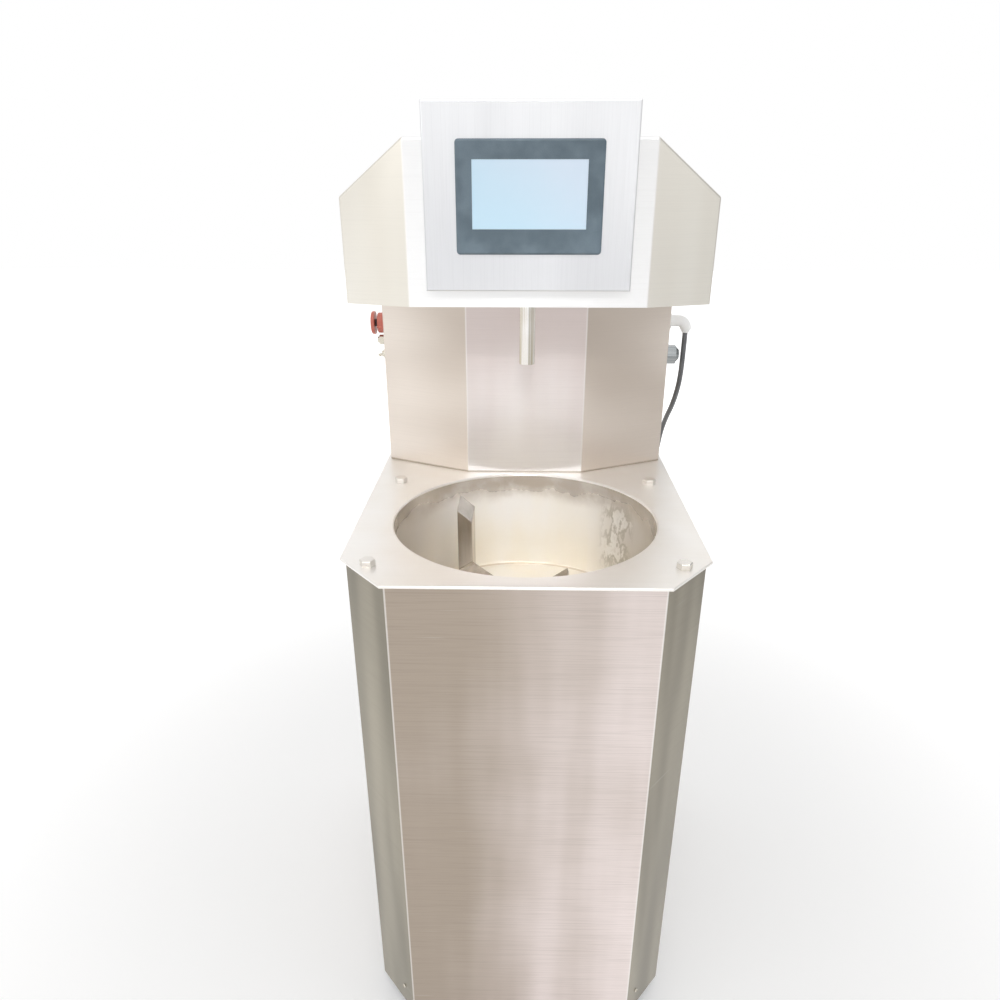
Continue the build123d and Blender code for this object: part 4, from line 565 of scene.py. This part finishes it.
def welded(node):
    """A CAD node's triangles in a bmesh, with the points that coincide joined."""
    shell = bmesh.new()
    shell.from_mesh(nodes[node].data)
    bmesh.ops.remove_doubles(shell, verts=shell.verts, dist=weld_distance)
    return shell


def softened(node, edge):
    """A welded copy of a CAD node with broken edges, standing for that node."""
    shell = welded(node)
    bmesh.ops.dissolve_limit(shell, angle_limit=flat_angle, verts=shell.verts, edges=shell.edges)
    mesh = bpy.data.meshes.new(node + "_skin")
    shell.to_mesh(mesh)
    shell.free()
    mesh.materials.clear()
    mesh.materials.append(finish_for(node))
    shade_by_angle(mesh)
    piece = add_piece(node + "_skin", mesh, nodes[node]["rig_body"], slot_of[node], node)
    bevel = piece.modifiers.new("broken edge", "BEVEL")
    bevel.width = edge
    bevel.segments = 2
    bevel.limit_method = "ANGLE"
    bevel.angle_limit = sharp_angle
    bevel.harden_normals = True


print("broken edges:", sheet_edge, fitting_edge, stirrer_edge, "m on sheets, fittings and stirrer")

# %% Softened copies of the pieces in view
sheet_nodes = [
    "front_panel", "left_side_panel", "right_side_panel", "rear_panel", "rear_cover", "deck_plate",
    "column_shell", "head_shell", "head_floor", "screen_panel",
]
fitting_nodes = [
    "bowl", "stirrer_arms", "wall_scraper", "inner_paddle", "hub_nut", "spout_nozzle", "e_stop_body",
    "e_stop_stem", "e_stop_cap", "push_collar", "push_button", "toggle_bush", "toggle_lever", "fill_fitting",
    "gland_elbow", "mains_plug", "levelling_feet", "hmi_body", "hmi_display", "deck_bolts",
]
stirrer_nodes = ["stirrer_arms", "wall_scraper", "inner_paddle"]
for name in sheet_nodes:
    softened(name, sheet_edge)
for name in fitting_nodes:
    softened(name, stirrer_edge if name in stirrer_nodes else fitting_edge)
print("softened:", len(sheet_nodes) + len(fitting_nodes), "pieces")

# %% [markdown]
# The mains lead leaves the white elbow on the column's right side, hangs down behind the cabinet and lies on
# the floor. A rubber lead has no corners, so its line is one spline whose control points are the route's own
# points, and the length that isn't in use is wound up behind the machine: one turn outside, one inside it,
# and half a turn on top, which ends in the plug.

# %% Route of the mains lead
cord_diameter = 0.010
gland_exit = (0.310, 0.250, 1.209)
lead_route = [
    gland_exit,
    (0.310, 0.250, 1.165),
    (0.310, 0.256, 1.119),
    (0.309, 0.275, 1.083),
    (0.308, 0.306, 1.048),
    (0.306, 0.348, 1.012),
    (0.304, 0.386, 0.967),
    (0.302, 0.406, 0.908),
    (0.299, 0.413, 0.817),
    (0.295, 0.416, 0.689),
    (0.290, 0.413, 0.554),
    (0.287, 0.417, 0.419),
    (0.283, 0.415, 0.289),
    (0.280, 0.419, 0.174),
    (0.272, 0.425, 0.097),
    (0.248, 0.436, 0.043),
    (0.206, 0.452, 0.011),
    (0.156, 0.469, 0.0055),
    (0.116, 0.480, 0.005),
]
coil_centre = Vector((0.080, 0.428, 0))
outer_turn = 0.0604
inner_turn = 0.0500
top_turn = 0.0552
low_layer = cord_diameter / 2
top_layer = 0.0151
coil_turns = 2.5
points_per_turn = 24
into_plug = [(0.097, 0.373, 0.0155), (0.108, 0.373, 0.0168), (0.118, 0.373, 0.017)]
moves_inward = (250, 330)
climbs = (545, 605)
moves_outward = (585, 640)


def eased(value, low, high):
    """0 before low, 1 after high, smooth between."""
    share = min(max((value - low) / (high - low), 0), 1)
    return share * share * (3 - 2 * share)


def coil_point(turned):
    """Place on the coil after this many degrees, counted from the rear and seen from above."""
    inward = (inner_turn - outer_turn) * eased(turned, *moves_inward)
    outward = (top_turn - inner_turn) * eased(turned, *moves_outward)
    radius = outer_turn + inward + outward
    height = low_layer + (top_layer - low_layer) * eased(turned, *climbs)
    angle = math.radians(90 + turned)
    return coil_centre + Vector((radius * math.cos(angle), radius * math.sin(angle), height))


coil_steps = int(coil_turns * points_per_turn)
coil_route = [coil_point(360 * step / points_per_turn) for step in range(coil_steps + 1)]
lead_points = [*lead_route, *coil_route, *into_plug]
print("route:", len(lead_points), "control points")

# %% Mains lead as a tube on one spline
lead_curve = bpy.data.curves.new("mains_lead", "CURVE")
lead_curve.dimensions = "3D"
line = lead_curve.splines.new("NURBS")
line.points.add(len(lead_points) - 1)
for point, place in zip(line.points, lead_points):
    point.co = (*place, 1.0)
line.order_u = 3
line.use_endpoint_u = True
line.resolution_u = 6
lead_curve.bevel_depth = cord_diameter / 2
lead_curve.bevel_resolution = 5
lead_curve.use_fill_caps = True
lead_curve.materials.append(finish_of_slot["cord_black"])
lead = bpy.data.objects.new("mains_lead", lead_curve)
scene.collection.objects.link(lead)
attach(lead, "cabinet")
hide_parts("power_cord", "cord_coil")

# %% [markdown]
# A strap holds the coil together. It wraps round the three cords that lie together at one place, so its
# outline is the hull of three circles, cut off flat at the floor. A Solidify modifier gives it its thickness.

# %% Tie round the coil
tie_turned = 120
tie_width = 0.007
tie_thickness = 0.0009
tie_point_step = 15
tie_smooth_angle = math.radians(50)


def tie_outline(clear):
    """Points round the three cords of the coil, this far from their middles, cut off at the floor."""
    middles = [(inner_turn, low_layer), (outer_turn, low_layer), (top_turn, top_layer)]
    ring = [
        Vector((x + clear * math.cos(math.radians(turn)), max(z + clear * math.sin(math.radians(turn)), 0)))
        for x, z in middles
        for turn in range(0, 360, tie_point_step)
    ]
    return [ring[index] for index in convex_hull_2d(ring)]


def coil_tie():
    """A flat strap: its outline round the cords, carried a short way along them."""
    angle = math.radians(90 + tie_turned)
    out = Vector((math.cos(angle), math.sin(angle), 0))
    along = Vector((-math.sin(angle), math.cos(angle), 0))
    strap = bmesh.new()
    outline = tie_outline(cord_diameter / 2 + tie_thickness)
    rings = []
    for side in (-0.5, 0.5):
        shift = coil_centre + along * side * tie_width
        rings.append([strap.verts.new(shift + out * x + Vector((0, 0, z))) for x, z in outline])
    for index in range(len(outline)):
        after = (index + 1) % len(outline)
        strap.faces.new((rings[0][index], rings[0][after], rings[1][after], rings[1][index]))
    bmesh.ops.recalc_face_normals(strap, faces=strap.faces)
    mesh = bpy.data.meshes.new("coil_tie")
    strap.to_mesh(mesh)
    strap.free()
    mesh.materials.append(finish_of_slot["stem_dark"])
    shade_by_angle(mesh, tie_smooth_angle)
    piece = add_piece("coil_tie", mesh, "cabinet", "stem_dark")
    wall = piece.modifiers.new("strap thickness", "SOLIDIFY")
    wall.thickness = tie_thickness
    wall.offset = -1
    return piece


tie = coil_tie()
print("tie:", len(tie.data.vertices), "points round the coil")

# %% [markdown]
# The sheet-metal screws that hold the panels are all alike: a low dome with a hexagon socket. A dome could be
# cut from a ball and the socket taken out of it, but rings of points that go up the dome and down into the
# socket give clean faces at once.

# %% One screw head
screw_head_radius = 0.0036
screw_head_height = 0.0022
socket_radius = 0.0016
socket_depth = 0.0013
head_sides = 24


def head_mesh(name, rings):
    """A closed head from rings of points, from its seat to the floor of its socket."""
    shell = bmesh.new()
    made = [[shell.verts.new(point) for point in ring] for ring in rings]
    for low, high in zip(made, made[1:]):
        for index in range(head_sides):
            after = (index + 1) % head_sides
            shell.faces.new((low[index], low[after], high[after], high[index]))
    shell.faces.new(made[-1])
    shell.faces.new(list(reversed(made[0])))
    bmesh.ops.recalc_face_normals(shell, faces=shell.faces)
    mesh = bpy.data.meshes.new(name)
    shell.to_mesh(mesh)
    shell.free()
    shade_by_angle(mesh)
    return mesh


head_turns = [2 * math.pi * step / head_sides for step in range(head_sides)]


def round_ring(radius, height):
    """Points of a circle at this height."""
    return [(radius * math.cos(turn), radius * math.sin(turn), height) for turn in head_turns]


def hexagon_ring(radius, height):
    """Points of a hexagon at this height, in step with those of a circle."""
    sixth = math.pi / 3
    ring = []
    for turn in head_turns:
        within = (turn + sixth / 2) % sixth - sixth / 2
        reach = radius * math.cos(sixth / 2) / math.cos(within)
        ring.append((reach * math.cos(turn), reach * math.sin(turn), height))
    return ring


dome = [(1.0, 0.0), (1.0, 0.25), (0.93, 0.55), (0.78, 0.80), (0.55, 0.96)]
screw_rings = [round_ring(screw_head_radius * reach, screw_head_height * rise) for reach, rise in dome]
screw_rings.append(hexagon_ring(socket_radius, screw_head_height))
screw_rings.append(hexagon_ring(socket_radius, screw_head_height - socket_depth))
screw_head = head_mesh("screw_head", screw_rings)
print("screw head:", len(screw_head.polygons), "faces")

# %% [markdown]
# Geometry Nodes put a copy of the head on each place and turn it to face outwards. Each is also turned about
# its own axis by a random amount with a fixed seed, because nobody lines up sockets by hand. The result is
# made a plain mesh, so that it can ride on a body like any other piece.

# %% Tree that places heads
def placing_tree(material):
    """Geometry Nodes: the given head on every point, facing along the point's own direction."""
    tree = bpy.data.node_groups.new("place heads", "GeometryNodeTree")
    tree.interface.new_socket("Geometry", in_out="INPUT", socket_type="NodeSocketGeometry")
    head_socket = tree.interface.new_socket("Head", in_out="INPUT", socket_type="NodeSocketObject")
    seed_socket = tree.interface.new_socket("Seed", in_out="INPUT", socket_type="NodeSocketInt")
    tree.interface.new_socket("Geometry", in_out="OUTPUT", socket_type="NodeSocketGeometry")
    made = tree.nodes.new
    link = tree.links.new
    group_in = made("NodeGroupInput")
    group_out = made("NodeGroupOutput")
    facing = made("GeometryNodeInputNamedAttribute")
    facing.data_type = "FLOAT_VECTOR"
    facing.inputs["Name"].default_value = "facing"
    turn_out = made("FunctionNodeAlignRotationToVector")
    turn_out.axis = "Z"
    spin = made("FunctionNodeRandomValue")
    spin.data_type = "FLOAT"
    # Of this node's many sockets, input 3 is the largest float and output 1 the float drawn.
    spin.inputs[3].default_value = 2 * math.pi
    spin_axis = made("ShaderNodeCombineXYZ")
    turn_about = made("FunctionNodeRotateRotation")
    turn_about.rotation_space = "LOCAL"
    spin_turn = made("FunctionNodeEulerToRotation")
    head = made("GeometryNodeObjectInfo")
    place = made("GeometryNodeInstanceOnPoints")
    realize = made("GeometryNodeRealizeInstances")
    paint = made("GeometryNodeSetMaterial")
    paint.inputs["Material"].default_value = material
    link(facing.outputs["Attribute"], turn_out.inputs["Vector"])
    link(group_in.outputs["Seed"], spin.inputs["Seed"])
    link(spin.outputs[1], spin_axis.inputs["Z"])
    link(spin_axis.outputs[0], spin_turn.inputs[0])
    link(turn_out.outputs[0], turn_about.inputs["Rotation"])
    link(spin_turn.outputs[0], turn_about.inputs["Rotate By"])
    link(group_in.outputs["Head"], head.inputs["Object"])
    link(group_in.outputs["Geometry"], place.inputs["Points"])
    link(head.outputs["Geometry"], place.inputs["Instance"])
    link(turn_about.outputs[0], place.inputs["Rotation"])
    link(place.outputs[0], realize.inputs[0])
    link(realize.outputs[0], paint.inputs[0])
    link(paint.outputs[0], group_out.inputs[0])
    return tree, head_socket.identifier, seed_socket.identifier


def placed_heads(name, head, places, facings, material, seed):
    """A plain mesh of one head on every place, made by the tree above."""
    points = bpy.data.meshes.new(name + "_points")
    points.from_pydata([tuple(place) for place in places], [], [])
    direction = points.attributes.new("facing", "FLOAT_VECTOR", "POINT")
    direction.data.foreach_set("vector", [value for facing in facings for value in facing])
    carrier = bpy.data.objects.new(name + "_points", points)
    pattern = bpy.data.objects.new(name + "_pattern", head)
    scene.collection.objects.link(carrier)
    scene.collection.objects.link(pattern)
    tree, head_input, seed_input = placing_tree(material)
    print("tree:", len(tree.nodes), "nodes for", name)
    modifier = carrier.modifiers.new("place heads", "NODES")
    modifier.node_group = tree
    modifier[head_input] = pattern
    modifier[seed_input] = seed
    bpy.context.view_layer.update()
    graph = bpy.context.evaluated_depsgraph_get()
    mesh = bpy.data.meshes.new_from_object(carrier.evaluated_get(graph), depsgraph=graph)
    mesh.name = name
    carrier.modifiers.clear()
    bpy.data.objects.remove(carrier)
    bpy.data.objects.remove(pattern)
    return mesh


# %% Panel screws where the CAD has them
def islands(node):
    """Boxes of the separate solids in one CAD node."""
    shell = welded(node)
    waiting = set(shell.verts)
    boxes = []
    while waiting:
        found = [waiting.pop()]
        for vert in found:
            for edge in vert.link_edges:
                other = edge.other_vert(vert)
                if other in waiting:
                    waiting.remove(other)
                    found.append(other)
        low = Vector([min(vert.co[axis] for vert in found) for axis in range(3)])
        high = Vector([max(vert.co[axis] for vert in found) for axis in range(3)])
        boxes.append((low, high))
    shell.free()
    return sorted(boxes, key=lambda box: tuple(box[0]))


front_panel_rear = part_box("front_panel")[1].y
corner_width = 0.074
corner_depth = 0.090
corner_out = Vector((corner_depth, -corner_width, 0)).normalized()
screw_length = 0.007
screw_across = 0.0092
screw_seed = 4
seats = []
outward = []
for low, high in islands("panel_screws"):
    middle = (low + high) / 2
    side = math.copysign(1, middle.x)
    on_front_panel = middle.y <= front_panel_rear
    if not on_front_panel and high.x - low.x < screw_across and high.z - low.z < screw_across:
        direction = Vector((0, 1, 0))
    elif not on_front_panel:
        direction = Vector((side, 0, 0))
    else:
        direction = Vector((side * corner_out.x, corner_out.y, 0))
    seats.append(middle + direction * (screw_length - screw_head_height) / 2)
    outward.append(direction)
screws = placed_heads(
    "panel_screw_heads", screw_head, seats, outward, finish_of_slot["nickel"], screw_seed
)
add_piece("panel_screw_heads", screws, "cabinet", "nickel", "panel_screws")
print("screws:", len(seats), "heads")

# %% [markdown]
# The studio is plain: a pale floor that runs back without an edge, an even bright room, a large lamp at the
# left front, a weaker one at the right, and a broad one above the bowl. Two small lamps with a narrow beam
# reach down into the bowl, which its own walls would leave dull. Steel is seen by what it mirrors, so for
# mirrored rays the room and the floor are brightest in front and fade towards the right, which gives the
# folded faces their steps of tone. Near the machine the floor glows least, so that its shadow shows.

# %% Floor
floor_reach = 14.0
floor_corners = [(-floor_reach, -floor_reach), (floor_reach, -floor_reach)]
floor_corners += [(floor_reach, floor_reach), (-floor_reach, floor_reach)]
floor_white = 0.86
floor_roughness = 0.9
glow_near = 0.16
glow_far = 0.60
glow_grows = (0.6, 3.0)
mirrored_front = 0.34
mirrored_right = 0.0
mirrored_fades = (0.4, 3.0)

floor_mesh = bpy.data.meshes.new("studio_floor")
floor_mesh.from_pydata([(x, y, 0) for x, y in floor_corners], [], [(0, 1, 2, 3)])
floor_material, floor_shader, floor_build = new_finish("studio_floor")
floor_shader.inputs["Base Color"].default_value = (floor_white, floor_white, floor_white, 1)
floor_shader.inputs["Roughness"].default_value = floor_roughness
floor_shader.inputs["Emission Color"].default_value = (1, 1, 1, 1)
floor_place = object_point(floor_build)
distance = floor_build.node("ShaderNodeVectorMath", {"operation": "LENGTH"}, {0: floor_place}, "Value")
away = distance.ramp(*glow_grows)
floor_right = floor_place.axis("X").ramp(*mirrored_fades)
seen_ray = floor_build.node("ShaderNodeLightPath", output="Is Camera Ray")
mirrored_ray = floor_build.node("ShaderNodeLightPath", output="Is Glossy Ray")
through_ray = floor_build.node("ShaderNodeLightPath", output="Is Transmission Ray")
seen_glow = glow_near + away * (glow_far - glow_near)
mirrored_glow = mirrored_front - floor_right * (mirrored_front - mirrored_right)
glow = seen_ray * seen_glow + (mirrored_ray + through_ray) * mirrored_glow
floor_build.feed(floor_shader.inputs["Emission Strength"], glow)
floor_mesh.materials.append(floor_material)
floor = bpy.data.objects.new("studio_floor", floor_mesh)
scene.collection.objects.link(floor)
print("floor:", 2 * floor_reach, "m wide")

# %% Room
room_light = 0.82
room_front = 0.96
room_left = 0.80
room_right = 0.47
side_starts = 0.25
side_ends = 0.85

world = bpy.data.worlds.new("studio")
world.use_nodes = True
scene.world = world
world.node_tree.nodes.clear()
room = Shade(world.node_tree)
heading = room.node("ShaderNodeTexCoord", output="Generated")
to_right = heading.axis("X").ramp(side_starts, side_ends)
to_left = 1 - heading.axis("X").ramp(-side_ends, -side_starts)
seen = room.node("ShaderNodeLightPath", output="Is Camera Ray")
mirrored = room.node("ShaderNodeLightPath", output="Is Glossy Ray")
through = room.node("ShaderNodeLightPath", output="Is Transmission Ray")
pale = room_front - to_left * (room_front - room_left) - to_right * (room_front - room_right)
strength = seen + (mirrored + through) * pale + (1 - seen - mirrored - through) * room_light
background = room.node("ShaderNodeBackground", None, {"Color": (1, 1, 1, 1), "Strength": strength})
world_output = world.node_tree.nodes.new("ShaderNodeOutputWorld")
world.node_tree.links.new(background.socket, world_output.inputs[0])
print("room: light", room_light, "and mirrored", room_left, room_front, room_right, "from left to right")

# %% Lamps
def lamp(name, place, aim, size, power, spread=180):
    """A soft square lamp that looks at a point. A small spread keeps its light near that point."""
    data = bpy.data.lights.new(name, "AREA")
    data.energy = power
    data.size = size
    data.spread = math.radians(spread)
    lit = bpy.data.objects.new(name, data)
    lit.location = place
    lit.rotation_euler = (Vector(aim) - Vector(place)).to_track_quat("-Z", "Y").to_euler()
    scene.collection.objects.link(lit)


lamp("left_lamp", place=(-2.2, -1.9, 2.6), aim=(0, 0, 0.9), size=1.8, power=9)
lamp("right_lamp", place=(2.3, -1.4, 2.0), aim=(0, 0, 0.8), size=1.4, power=3)
lamp("top_lamp", place=(0, -0.9, 3.2), aim=(0, -0.1, 0.95), size=1.6, power=7)
lamp("bowl_front_lamp", place=(0, -2.3, 2.2), aim=(0, 0.11, 0.94), size=0.35, power=0.34, spread=16)
lamp("bowl_top_lamp", place=(0, -0.95, 2.6), aim=(0, -0.15, 0.90), size=0.4, power=0.16, spread=28)

# %% [markdown]
# Dressing must not change a size.
